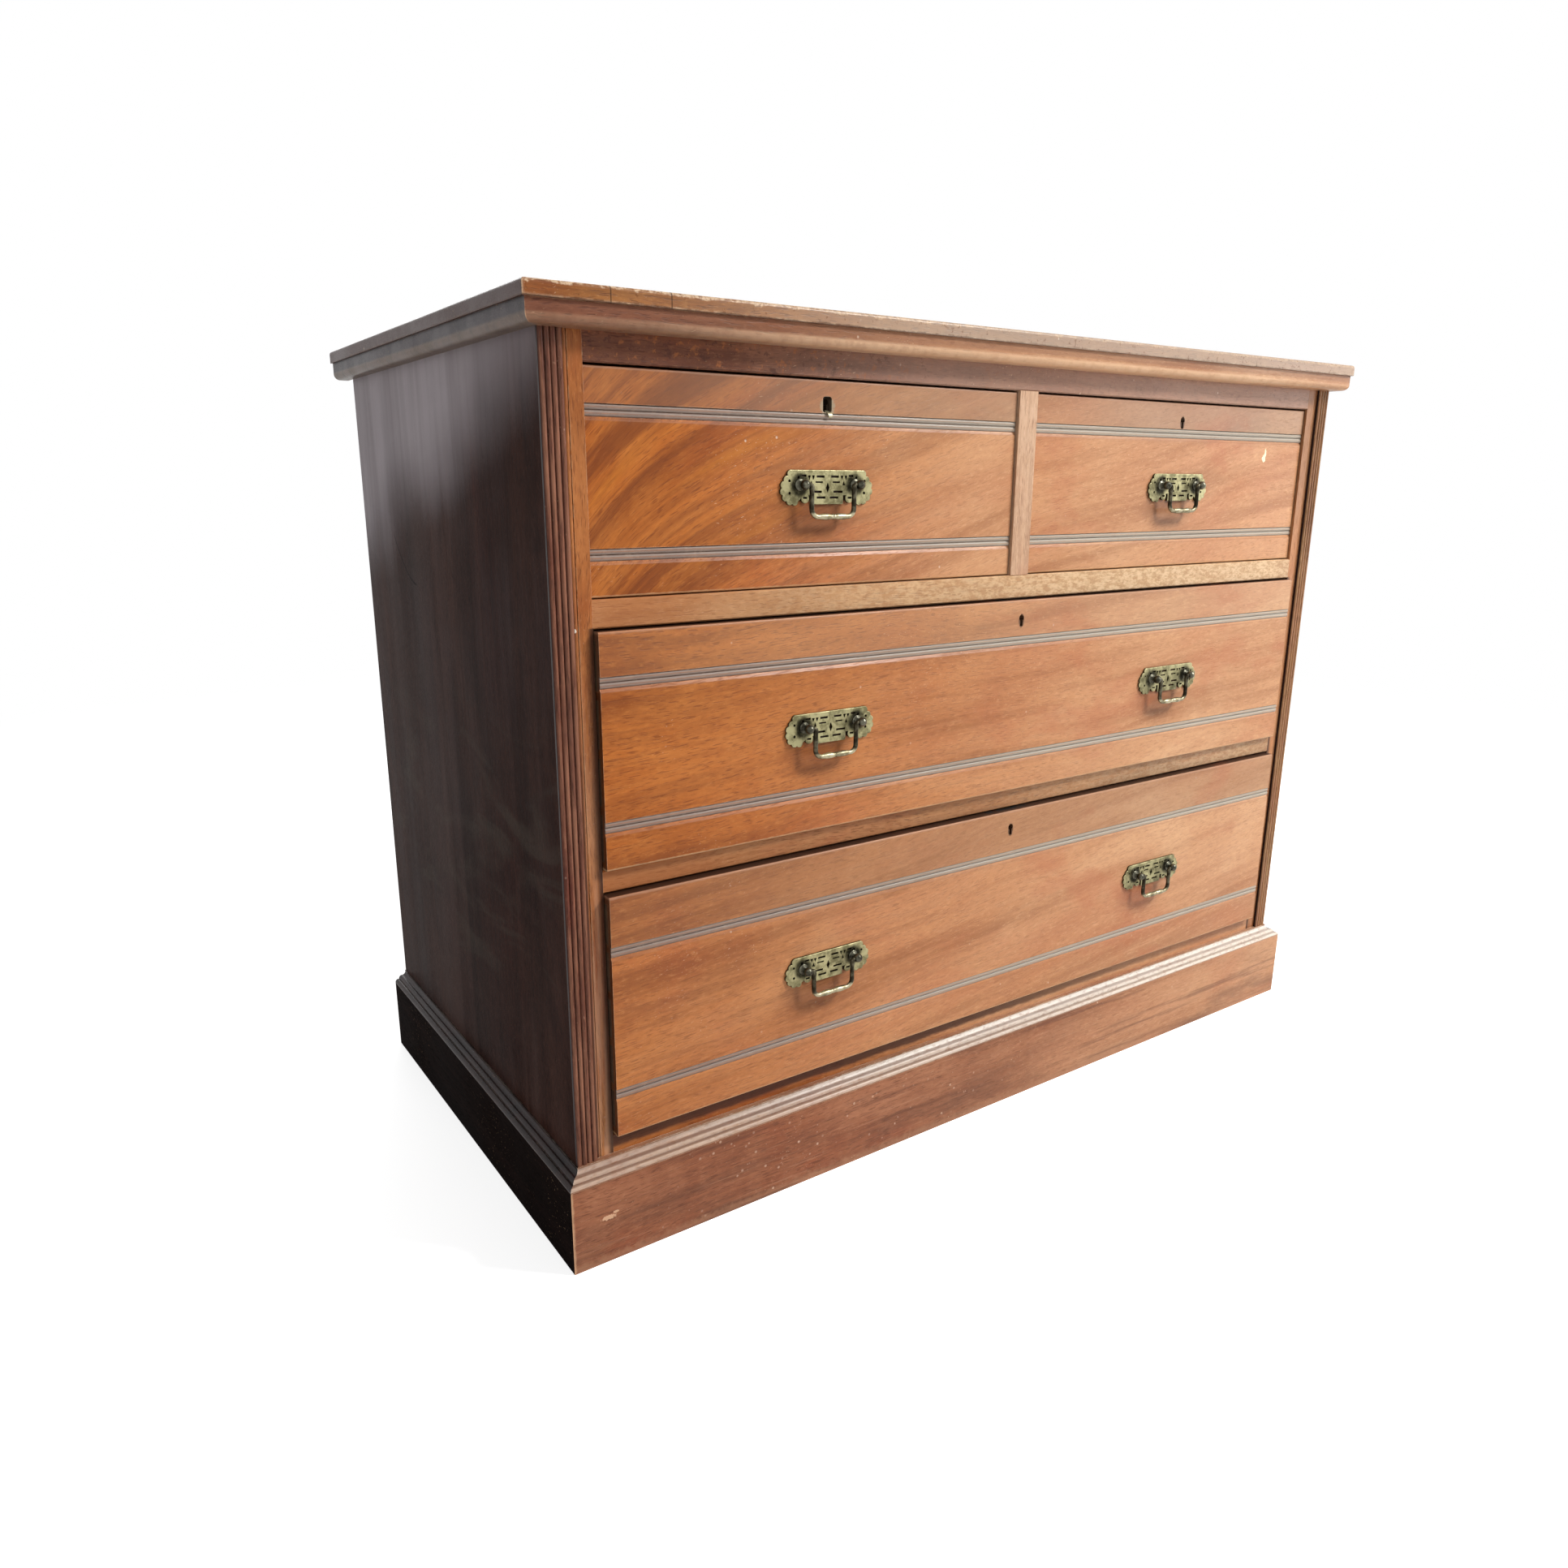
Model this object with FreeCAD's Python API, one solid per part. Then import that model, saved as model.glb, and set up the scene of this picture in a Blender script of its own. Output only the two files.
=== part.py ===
import FreeCAD, Part
import math
import os

from FreeCAD import Vector

# A bachelor's chest: two short drawers over two long ones, in a solid carcass on a plinth.
# Millimetres. Seen from the front, +X is to the right, drawers open towards -Y and +Z is up.
# The pieces are drawn with y = 0 on the face of the reeded pilasters and z = 0 on the floor;
# save() then moves them so that the origin is in the middle of the footprint.

# --- Carcass ---------------------------------------------------------------------------
carcass_width = 1035.0
carcass_depth = 511.0
side_thickness = 19.0
back_thickness = 10.0
back_board_count = 5
back_lap = 8.0             # how far neighbouring back boards overlap
housing_depth = 6.0        # rails and bottom let into the side panels

# --- Front frame -----------------------------------------------------------------------
pilaster_width = 20.0
pilaster_thickness = 4.0
pilaster_reeds = 4
pilaster_reed_depth = 1.8
stile_width = 18.0
stile_thickness = 20.0
stile_bead_width = 4.6
stile_bead_depth = 1.2
rail_depth = 60.0
rail_ease = 1.2
top_rail_thickness = 26.0
bottom_rail_thickness = 22.0
bottom_rail_show = 18.4    # height of the bottom rail above the plinth moulding
lower_rail_height = 20.4
upper_rail_height = 23.4
top_rail_show = 22.5       # height of the top rail below the top moulding
muntin_width = 25.0
muntin_tenon = 7.0

# --- Top and plinth --------------------------------------------------------------------
top_thickness = 12.0
top_overhang = 2.5         # of the board beyond its moulding
top_edge_round = 3.2
top_back_overhang = 19.5
top_moulding_height = 17.0
top_moulding_projection = 15.0
top_moulding_round = 6.0
plinth_height = 83.0
plinth_projection = 14.0
plinth_moulding_height = 14.0
plinth_reed_depth = 1.6
plinth_fillet = 1.2        # flat step at the top of the plinth moulding

# --- Inside the carcass ----------------------------------------------------------------
bottom_board_thickness = 12.0
runner_width = 68.0
runner_thickness = 18.0
dustboard_thickness = 6.0
dustboard_tongue = 8.0
guide_height = 20.0
kicker_width = 36.0
stop_length = 30.0
stop_depth = 20.0
stop_height = 6.0
stop_inset = 70.0          # from a drawer's side to the middle of its stop
block_size = 25.0
block_length = 60.0
block_count = 4

# --- Drawers ---------------------------------------------------------------------------
lower_front_height = 229.0
upper_front_height = 202.0
short_front_height = 176.0
drawer_rear_gap = 14.0     # from a drawer at home to the back boards
drawer_top_gap = 1.6
drawer_bottom_gap = 1.0
drawer_side_gap = 1.2
muntin_gap = 1.5
runner_gap = 0.3
home_setback = 3.0         # a drawer pushed home sits this far behind the frame
home_gap = 0.2             # left between a drawer at home and its stops
upper_stands_out = 10.0    # the long drawers aren't pushed quite home
lower_stands_out = 12.0
front_thickness = 20.0
front_round = 1.6
drawer_side_thickness = 10.0
drawer_side_drop = 4.0     # sides are lower than the front
drawer_back_thickness = 10.0
drawer_back_drop = 6.0     # the back is lower than the sides
drawer_bottom_thickness = 6.0
drawer_bottom_height = 9.0  # from the front's lower edge to the bottom's underside
drawer_groove = 4.0
dovetail_lap = 5.0         # wood left in front of the half-blind dovetails
dovetail_pitch = 46.0
dovetail_pin = 7.0         # width of a pin between two tails, at the tails' wide end
dovetail_slope = 0.16

# --- Reeded bands across the drawer fronts ----------------------------------------------
band_reeds = 2
band_reed_pitch = 4.9
band_reed_height = 1.4
band_sink = 0.3            # crests lie this far below the face
band_lip = 3.0             # height of the slope under the reeds
short_bands = (32.0, 34.0)  # from the front's lower and upper edges to each band's middle
upper_bands = (36.5, 43.0)
lower_bands = (41.0, 52.0)

# --- Locks -----------------------------------------------------------------------------
key_drop = 18.0            # from the front's upper edge to the keyhole's round head
keyhole_radius = 3.5
keyhole_slot = 3.6
keyhole_length = 8.9       # from the head's centre to the slot's end
keyhole_sides = 10         # flats round the head
worn_half_width = 4.9      # the opening left round the top left keyhole by its lost liner
worn_up = 4.3              # above the head's centre
worn_down = 9.0
worn_corner = 1.5
worn_depth = 3.8
lock_width = 60.0
lock_height = 38.0
lock_thickness = 11.0
lock_plate = 2.5
lock_plate_depth = 14.0
bolt_width = 24.0
bolt_thickness = 4.0
bolt_height = 13.0
bolt_travel = 6.5
bolt_inset = 5.5           # from the front's rear face to the bolt
bolt_clearance = 0.3
mortise_clearance = 1.2

# --- Drop handles ----------------------------------------------------------------------
turned_sides = 8           # small turned pieces are drawn with this many flats
pin_sides = 6              # and so are the thinnest, and the drillings that they fit
plate_thickness = 2.2
plate_half_length = 40.2
plate_top = 12.6           # heights above and below the line through the two posts
plate_apron = -16.9
apron_half_width = 17.5
roundel_x = 37.3
roundel_z = -4.0
scallop_radius = 3.4
scallop_orbit = 10.6
scallop_count = 5
scallop_start = -98.0      # direction of the first scallop from the roundel's middle
scallop_step = 36.0
earlet_x = 24.5
earlet_z = -11.5
earlet_radius = 4.4
fret_slot = 1.6            # height of the slots pierced in the plate
fret_slot_length = 9.0
fret_slot_x = 9.4
fret_rows = (7.0, -6.0, -11.0)
fret_wedge_x = 18.3
fret_wedge_half = 3.3
fret_wedge_height = 5.8
fret_eye_x = 41.4
fret_eye_z = -5.4
fret_lozenge_z = -2.6
post_half_spacing = 30.5
post_reach = 10.5          # from the drawer front to the bail's axis
post_ball_radius = 4.5
post_belly = 4.2           # length of the widest part of the ball
post_tip_radius = 1.8
post_neck_radius = 2.6
post_flange_radius = 5.2
post_flange_thickness = 1.4
shank_radius = 2.3
shank_clearance = 0.2
shank_proud = 8.0
nut_size = 8.0
nut_thickness = 4.0
bail_half_width = 23.4
bail_drop = 27.4
bail_radius = 2.2
bail_shoulder = 2.2        # from a leg's middle to where its pivot pin starts
bail_corner = 7.0
bail_bend_steps = 3        # straight lengths in each of the bail's corners
bail_grip_length = 30.0
bail_grip_radius = 2.9
bail_notch_radius = 2.0
bail_notch_width = 2.4
bail_pin_radius = 1.4
bail_pin_clearance = 0.25
bail_pin_length = 6.0

# --- Levels and places worked out from the sizes above ------------------------------------
half_width = carcass_width / 2
side_inner = half_width - side_thickness
opening_half = side_inner - stile_width
frame_face = pilaster_thickness
stile_back = frame_face + stile_thickness
rail_back = frame_face + rail_depth
back_inner = carcass_depth - back_thickness

plinth_top = plinth_height + plinth_moulding_height
lower_floor = plinth_top + bottom_rail_show
lower_ceiling = lower_floor + drawer_bottom_gap + lower_front_height + drawer_top_gap
upper_floor = lower_ceiling + lower_rail_height
upper_ceiling = upper_floor + drawer_bottom_gap + upper_front_height + drawer_top_gap
short_floor = upper_ceiling + upper_rail_height
short_ceiling = short_floor + drawer_bottom_gap + short_front_height + drawer_top_gap
top_moulding_bottom = short_ceiling + top_rail_show
top_board_bottom = top_moulding_bottom + top_moulding_height
height = top_board_bottom + top_thickness

top_front = -(top_moulding_projection + top_overhang)
top_rear = carcass_depth + top_back_overhang
home_face = frame_face + home_setback
stop_front = home_face + front_thickness + home_gap
drawer_length = back_inner - drawer_rear_gap - home_face

# The footprint runs from the front of the lowest handles to the top's rear edge.
handle_front = home_face - lower_stands_out - post_reach - post_ball_radius
middle_y = (min(handle_front, top_front, -plinth_projection) + top_rear) / 2


class Drawer:
    """Where one drawer stands at rest, and where its handles and keyhole are."""

    def __init__(self, name, left, right, floor, front_height, stands_out, bands):
        self.name = name
        self.left = left
        self.right = right
        self.middle = (left + right) / 2
        self.floor = floor
        self.low = floor + drawer_bottom_gap
        self.high = self.low + front_height
        self.face = home_face - stands_out
        self.front_back = self.face + front_thickness
        self.rear = self.face + drawer_length
        self.side_low = floor + runner_gap
        self.side_high = self.high - drawer_side_drop
        self.bottom_low = self.low + drawer_bottom_height
        self.bottom_high = self.bottom_low + drawer_bottom_thickness
        self.key_z = self.high - key_drop
        self.handle_z = (self.low + self.high) / 2
        self.bands = (self.low + bands[0], self.high - bands[1])
        self.stands_out = stands_out
        self.handle_xs = [self.middle]
        self.worn_keyhole = False


drawer_half = opening_half - drawer_side_gap
short_inner = muntin_width / 2 + muntin_gap
top_left = Drawer("top_left", -drawer_half, -short_inner, short_floor, short_front_height,
                  0.0, short_bands)
top_right = Drawer("top_right", short_inner, drawer_half, short_floor, short_front_height,
                   0.0, short_bands)
upper = Drawer("upper", -drawer_half, drawer_half, upper_floor, upper_front_height,
               upper_stands_out, upper_bands)
lower = Drawer("lower", -drawer_half, drawer_half, lower_floor, lower_front_height,
               lower_stands_out, lower_bands)
# The long drawers' handles hang below those of the short drawers.
upper.handle_xs = [top_left.middle, top_right.middle]
lower.handle_xs = [top_left.middle, top_right.middle]
top_left.worn_keyhole = True
drawers = [top_left, top_right, upper, lower]


# --- Helpers -------------------------------------------------------------------------------
def save(name, solids):
    """Write one node, moved so that the origin is in the middle of the footprint."""
    shape = solids[0] if len(solids) == 1 else Part.makeCompound(solids)
    shape = shape.translated(Vector(0, -middle_y, 0))
    shape.exportStep("parts/" + name + ".step")


def block(x0, x1, y0, y1, z0, z1):
    return Part.makeBox(x1 - x0, y1 - y0, z1 - z0, Vector(x0, y0, z0))


def flat_face(points):
    return Part.Face(Part.makePolygon(points + [points[0]]))


def prism(points, push):
    """A closed outline of straight lines, pushed along a vector."""
    return flat_face(points).extrude(push)


def mirrored(shape):
    return shape.mirror(Vector(0, 0, 0), Vector(1, 0, 0))


def both_sides(shape):
    return [mirrored(shape), shape]


def cut_all(shape, tools):
    for tool in tools:
        shape = shape.cut(tool)
    return shape


def fused(shapes):
    return shapes[0].multiFuse(shapes[1:]).removeSplitter()


def line(a, b):
    return Part.LineSegment(a, b).toShape()


def arc(a, through, b):
    return Part.Arc(a, through, b).toShape()


def reeds(start, end, count, out):
    """Half-round reeds side by side from start to end, each standing out by a vector."""
    step = (end - start) / count
    edges = []
    for i in range(count):
        a = start + step * i
        b = a + step
        edges.append(arc(a, (a + b) / 2 + out, b))
    return edges


def swept(edges, push):
    """A closed outline of lines and arcs, pushed along a vector."""
    return Part.Face(Part.Wire(edges)).extrude(push)


def quarter(centre, start, end):
    """A quarter circle between two points about a centre."""
    radius = (start - centre).Length
    towards_middle = (start + end) / 2 - centre
    return arc(start, centre + towards_middle * (radius / towards_middle.Length), end)


# --- Carcass -------------------------------------------------------------------------------
def eased_rail(half_length, y_front, y_back, z_low, z_high):
    """A rail along X whose two front edges are taken off at a slant."""
    e = rail_ease
    x = -half_length
    points = [Vector(x, y_front + e, z_low), Vector(x, y_front, z_low + e),
              Vector(x, y_front, z_high - e), Vector(x, y_front + e, z_high),
              Vector(x, y_back, z_high), Vector(x, y_back, z_low)]
    return prism(points, Vector(2 * half_length, 0, 0))


def housed_rail(z_low, z_high):
    """A rail between the stiles, whose rear part is let into the side panels."""
    face = eased_rail(opening_half, frame_face, stile_back, z_low, z_high)
    reach = side_inner + housing_depth
    return face.fuse(block(-reach, reach, stile_back, rail_back, z_low, z_high)).removeSplitter()


def bolt_mortise(drawer, z_rail):
    """The slot in the rail above a drawer that takes its lock's bolt, at rest and at home."""
    half = bolt_width / 2 + mortise_clearance
    y_bolt = drawer.front_back - bolt_inset
    y0 = y_bolt - bolt_thickness / 2 - mortise_clearance
    y1 = y_bolt + bolt_thickness / 2 + drawer.stands_out + mortise_clearance
    top = drawer.high + bolt_travel + mortise_clearance
    return block(drawer.middle - half, drawer.middle + half, y0, y1, z_rail - 1, top)


def bottom_rail():
    return housed_rail(lower_floor - bottom_rail_thickness, lower_floor)


def lower_rail():
    rail = housed_rail(lower_ceiling, upper_floor)
    return cut_all(rail, [bolt_mortise(lower, lower_ceiling)] + dust_panels(lower_level))


def upper_rail():
    rail = housed_rail(upper_ceiling, short_floor)
    tools = [bolt_mortise(upper, upper_ceiling), muntin()] + dust_panels(upper_level)
    return cut_all(rail, tools)


def top_rail():
    rail = eased_rail(opening_half, frame_face, frame_face + top_rail_thickness,
                      short_ceiling, top_board_bottom)
    tools = [bolt_mortise(top_left, short_ceiling), bolt_mortise(top_right, short_ceiling)]
    return cut_all(rail, tools + [muntin()])


def muntin():
    """The upright between the short drawers, with a stub tenon at each end."""
    half = muntin_width / 2
    body = block(-half, half, frame_face, stile_back, short_floor, short_ceiling)
    third = stile_thickness / 3
    tenon = block(-half, half, frame_face + third, stile_back - third,
                  short_floor - muntin_tenon, short_ceiling + muntin_tenon)
    return body.fuse(tenon).removeSplitter()


def right_pilaster():
    """A flat strip with vertical reeds worked across its face."""
    x0, x1 = half_width - pilaster_width, half_width
    z = plinth_top
    back0, back1 = Vector(x0, pilaster_thickness, z), Vector(x1, pilaster_thickness, z)
    valley0, valley1 = Vector(x0, pilaster_reed_depth, z), Vector(x1, pilaster_reed_depth, z)
    edges = [line(back1, back0), line(back0, valley0)]
    edges += reeds(valley0, valley1, pilaster_reeds, Vector(0, -pilaster_reed_depth, 0))
    edges.append(line(valley1, back1))
    return swept(edges, Vector(0, 0, top_moulding_bottom - plinth_top))


def right_stile():
    """The plain strip beside the drawers, with a bead run beside the pilaster."""
    bead_end = half_width - pilaster_width
    bead_start = bead_end - stile_bead_width
    sunk = frame_face + stile_bead_depth
    inner = Vector(opening_half, frame_face, 0)
    quirk0, quirk1 = Vector(bead_start, sunk, 0), Vector(bead_end, sunk, 0)
    edges = [line(Vector(opening_half, stile_back, 0), inner)]
    edges.append(line(inner, Vector(bead_start, frame_face, 0)))
    edges.append(line(Vector(bead_start, frame_face, 0), quirk0))
    edges += reeds(quirk0, quirk1, 1, Vector(0, -stile_bead_depth, 0))
    edges.append(line(quirk1, Vector(bead_end, frame_face, 0)))
    edges.append(line(Vector(bead_end, frame_face, 0), Vector(side_inner, frame_face, 0)))
    edges.append(line(Vector(side_inner, frame_face, 0), Vector(side_inner, stile_back, 0)))
    edges.append(line(Vector(side_inner, stile_back, 0), Vector(opening_half, stile_back, 0)))
    return swept(edges, Vector(0, 0, top_board_bottom))


def right_side_panel():
    """A solid side with housings for rails and bottom, and a rebate for the back boards."""
    panel = block(side_inner, half_width, frame_face, carcass_depth, 0, top_board_bottom)
    reach = side_inner + housing_depth
    rebate = block(side_inner, reach, back_inner, carcass_depth, 0, top_board_bottom)
    tools = [rebate, bottom_rail(), bottom_board()]
    tools += [housed_rail(lower_ceiling, upper_floor), housed_rail(upper_ceiling, short_floor)]
    return cut_all(panel, tools)


def bottom_board():
    reach = side_inner + housing_depth
    return block(-reach, reach, rail_back, back_inner,
                 lower_floor - bottom_board_thickness, lower_floor)


def back_boards():
    """Upright boards in the rear rebates, half-lapped where they meet."""
    reach = side_inner + housing_depth
    pitch = 2 * reach / back_board_count
    middle = (back_inner + carcass_depth) / 2
    push = Vector(0, 0, top_board_bottom)
    boards = []
    for i in range(back_board_count):
        x0 = -reach + pitch * i
        x1 = x0 + pitch
        lap0 = back_lap / 2 if i > 0 else 0.0
        lap1 = back_lap / 2 if i < back_board_count - 1 else 0.0
        inner_layer = block(x0 - lap0, x1 - lap1, back_inner, middle, 0, push.z)
        outer_layer = block(x0 + lap0, x1 + lap1, middle, carcass_depth, 0, push.z)
        boards.append(inner_layer.fuse(outer_layer).removeSplitter())
    return boards


# --- Runners, guides and dustboards -----------------------------------------------------------
class Level:
    """A floor that drawers run on, and the half widths of its centre runner and guide."""

    def __init__(self, floor, rail_low, has_centre):
        self.floor = floor
        self.runner_low = floor - runner_thickness
        self.panel_low = (rail_low + floor) / 2 - dustboard_thickness / 2
        self.has_centre = has_centre


lower_level = Level(upper_floor, lower_ceiling, False)
upper_level = Level(short_floor, upper_ceiling, True)
runner_inner = side_inner - runner_width
centre_half = runner_width / 2


def dust_panels(level):
    """Thin panels between the runners, tongued into them and into the rail."""
    y0, y1 = rail_back - dustboard_tongue, back_inner
    z0, z1 = level.panel_low, level.panel_low + dustboard_thickness
    outer = runner_inner + dustboard_tongue
    if not level.has_centre:
        return [block(-outer, outer, y0, y1, z0, z1)]
    return both_sides(block(centre_half - dustboard_tongue, outer, y0, y1, z0, z1))


def runners():
    """Side runners under every drawer, and one between the short drawers."""
    solids = []
    for level in (upper_level, lower_level):
        side = block(runner_inner, side_inner, rail_back, back_inner,
                     level.runner_low, level.floor)
        pieces = both_sides(side)
        if level.has_centre:
            pieces.append(block(-centre_half, centre_half, rail_back, back_inner,
                                level.runner_low, level.floor))
        solids += [cut_all(piece, dust_panels(level)) for piece in pieces]
    return solids


def guides():
    """Strips that keep the drawers straight, and kickers that stop them tipping."""
    solids = []
    for floor in (short_floor, upper_floor, lower_floor):
        solids += both_sides(block(opening_half, side_inner, stile_back, back_inner,
                                   floor, floor + guide_height))
    half = muntin_width / 2
    solids.append(block(-half, half, stile_back, back_inner,
                        short_floor, short_floor + guide_height))
    y0 = frame_face + top_rail_thickness
    solids += both_sides(block(side_inner - kicker_width, side_inner, y0, back_inner,
                               short_ceiling, top_board_bottom))
    solids.append(block(-kicker_width, kicker_width, y0, back_inner,
                        short_ceiling, top_board_bottom))
    return solids


def drawer_stops():
    """Small blocks on the rails that the drawer fronts meet when pushed home."""
    solids = []
    for drawer in drawers:
        for x in (drawer.left + stop_inset, drawer.right - stop_inset):
            solids.append(block(x - stop_length / 2, x + stop_length / 2, stop_front,
                                stop_front + stop_depth, drawer.floor,
                                drawer.floor + stop_height))
    return solids


def glue_blocks():
    """Three-cornered blocks behind the plinth and under the top."""
    solids = []
    rail_low = lower_floor - bottom_rail_thickness
    span = 2 * (opening_half - block_length)
    y_rail = frame_face + top_rail_thickness
    for i in range(block_count):
        x = -span / 2 + span * (i + 0.5) / block_count
        push = Vector(block_length, 0, 0)
        x0 = x - block_length / 2
        plinth_corner = [Vector(x0, frame_face, rail_low),
                         Vector(x0, frame_face + block_size, rail_low),
                         Vector(x0, frame_face, rail_low - block_size)]
        top_corner = [Vector(x0, y_rail, top_board_bottom),
                      Vector(x0, y_rail + block_size, top_board_bottom),
                      Vector(x0, y_rail, top_board_bottom - block_size)]
        solids += [prism(plinth_corner, push), prism(top_corner, push)]
    board_low = lower_floor - bottom_board_thickness
    for i in range(block_count // 2):
        y0 = rail_back + (back_inner - rail_back) * (i + 0.5) / (block_count // 2)
        corner = [Vector(side_inner, y0, board_low),
                  Vector(side_inner - block_size, y0, board_low),
                  Vector(side_inner, y0, board_low - block_size)]
        solids += both_sides(prism(corner, Vector(0, block_length, 0)))
    return solids


# --- Top and plinth ------------------------------------------------------------------------------
def top_board():
    reach = half_width + top_moulding_projection + top_overhang
    board = block(-reach, reach, top_front, top_rear, top_board_bottom, height)
    eased = [edge for edge in board.Edges if is_eased_top_edge(edge)]
    return board.makeFillet(top_edge_round, eased)


def is_eased_top_edge(edge):
    """The upper edges at the front and the two ends."""
    box = edge.BoundBox
    return box.ZMin > height - 0.1 and box.YMin < top_rear - 0.1


def frame_pieces(projection, z0, z1, y_end):
    """Plans of a frame round the front and sides, mitred at the two front corners."""
    outer = half_width + projection
    front_plan = [Vector(-outer, -projection, z0), Vector(outer, -projection, z0),
                  Vector(half_width, 0, z0), Vector(half_width, frame_face, z0),
                  Vector(-half_width, frame_face, z0), Vector(-half_width, 0, z0)]
    side_plan = [Vector(half_width, 0, z0), Vector(outer, -projection, z0),
                 Vector(outer, y_end, z0), Vector(half_width, y_end, z0)]
    push = Vector(0, 0, z1 - z0)
    return prism(front_plan, push), prism(side_plan, push)


def moulded_frame(section, projection, z0, z1, y_end):
    """A mitred frame with a moulded section; section(place) gives its closed outline."""
    front_plan, side_plan = frame_pieces(projection, z0, z1, y_end)
    outer = half_width + projection
    front = swept(section(lambda out, z: Vector(-outer, -out, z), frame_face),
                  Vector(2 * outer, 0, 0)).common(front_plan)
    side = swept(section(lambda out, z: Vector(half_width + out, -projection, z), 0.0),
                 Vector(0, projection + y_end, 0)).common(side_plan)
    return [front] + both_sides(side)


def top_moulding_section(place, behind):
    """A flat face rounded under; place(out, z) is a point that far out from the carcass."""
    out, r = top_moulding_projection, top_moulding_round
    low, high = top_moulding_bottom, top_board_bottom
    a, b = place(-behind, low), place(out - r, low)
    c, d = place(out, low + r), place(out, high)
    e = place(-behind, high)
    return [line(a, b), quarter(place(out - r, low + r), b, c), line(c, d), line(d, e),
            line(e, a)]


def plinth_moulding_section(place, behind):
    """Two reeds climbing from the plinth's edge and a hollow up to the carcass."""
    out = plinth_projection
    low, high = plinth_height, plinth_top
    slope_out, slope_z = out * 0.67, plinth_moulding_height * 0.6
    reed_end = place(out - slope_out, low + slope_z)
    normal = place(slope_z, slope_out) - place(0, 0)
    normal = normal * (plinth_reed_depth / normal.Length)
    fillet = place(plinth_fillet, high)
    chord = (reed_end + fillet) / 2
    hollow = chord - normal
    edges = [line(place(-behind, low), place(out, low))]
    edges += reeds(place(out, low), reed_end, 2, normal)
    edges.append(arc(reed_end, hollow, fillet))
    edges.append(line(fillet, place(-behind, high)))
    edges.append(line(place(-behind, high), place(-behind, low)))
    return edges


def top_moulding():
    return moulded_frame(top_moulding_section, top_moulding_projection,
                         top_moulding_bottom, top_board_bottom, top_rear)


def plinth_moulding():
    return moulded_frame(plinth_moulding_section, plinth_projection,
                         plinth_height, plinth_top, carcass_depth)


# --- Drawers -------------------------------------------------------------------------------------
def band_outline(x, face, middle):
    """The reeded band's part of a drawer front's section, from its lower to its upper edge."""
    reeds_height = band_reeds * band_reed_pitch
    low = middle - (reeds_height + band_lip) / 2
    floor = face + band_sink + band_reed_height
    valley0 = Vector(x, floor, low + band_lip)
    valley1 = Vector(x, floor, low + band_lip + reeds_height)
    edges = [line(Vector(x, face, low), valley0)]
    edges += reeds(valley0, valley1, band_reeds, Vector(0, -band_reed_height, 0))
    edges.append(line(valley1, Vector(x, face, valley1.z)))
    return edges


def moulded_front(drawer):
    """The front board: eased edges and two reeded bands, all run along its length."""
    x, face, back = drawer.left, drawer.face, drawer.front_back
    low, high, r = drawer.low, drawer.high, front_round
    edges = [quarter(Vector(x, face + r, low + r), Vector(x, face + r, low),
                     Vector(x, face, low + r))]
    z = low + r
    for middle in drawer.bands:
        band = band_outline(x, face, middle)
        edges.append(line(Vector(x, face, z), band[0].Vertexes[0].Point))
        edges += band
        z = band[-1].Vertexes[1].Point.z
    edges.append(line(Vector(x, face, z), Vector(x, face, high - r)))
    edges.append(quarter(Vector(x, face + r, high - r), Vector(x, face, high - r),
                         Vector(x, face + r, high)))
    edges.append(line(Vector(x, face + r, high), Vector(x, back, high)))
    edges.append(line(Vector(x, back, high), Vector(x, back, low)))
    edges.append(line(Vector(x, back, low), Vector(x, face + r, low)))
    return swept(edges, Vector(drawer.right - drawer.left, 0, 0))


def tails(x0, x1, y_root, y_tip, z_low, z_high):
    """Dovetails between two heights, wider at the tip, as thick as x0 to x1."""
    count = max(2, round((z_high - z_low) / dovetail_pitch))
    pitch = (z_high - z_low) / count
    tip_half = (pitch - dovetail_pin) / 2
    root_half = tip_half - dovetail_slope * abs(y_tip - y_root)
    solids = []
    for i in range(count):
        z = z_low + pitch * (i + 0.5)
        outline = [Vector(x0, y_root, z - root_half), Vector(x0, y_tip, z - tip_half),
                   Vector(x0, y_tip, z + tip_half), Vector(x0, y_root, z + root_half)]
        solids.append(prism(outline, Vector(x1 - x0, 0, 0)))
    return solids


def side_spans(drawer):
    """The two drawer sides, from x to x."""
    t = drawer_side_thickness
    return [(drawer.left, drawer.left + t), (drawer.right - t, drawer.right)]


def front_tails(drawer):
    solids = []
    for x0, x1 in side_spans(drawer):
        solids += tails(x0, x1, drawer.front_back, drawer.face + dovetail_lap,
                        drawer.low + dovetail_pin / 2, drawer.side_high)
    return solids


def back_levels(drawer):
    return drawer.bottom_high, drawer.side_high - drawer_back_drop


def back_pins(drawer, x0, x1):
    """What the drawer back fills between one side's rear tails."""
    z0, z1 = back_levels(drawer)
    y_root = drawer.rear - drawer_back_thickness
    pins = block(x0, x1, y_root, drawer.rear, z0, z1)
    return cut_all(pins, tails(x0, x1, y_root, drawer.rear, z0, z1))


def drawer_sides(drawer):
    solids = []
    for x0, x1 in side_spans(drawer):
        board = block(x0, x1, drawer.front_back, drawer.rear, drawer.side_low, drawer.side_high)
        joint = tails(x0, x1, drawer.front_back, drawer.face + dovetail_lap,
                      drawer.low + dovetail_pin / 2, drawer.side_high)
        side = fused([board] + joint)
        solids.append(cut_all(side, [back_pins(drawer, x0, x1), drawer_bottom(drawer)]))
    return solids


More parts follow.
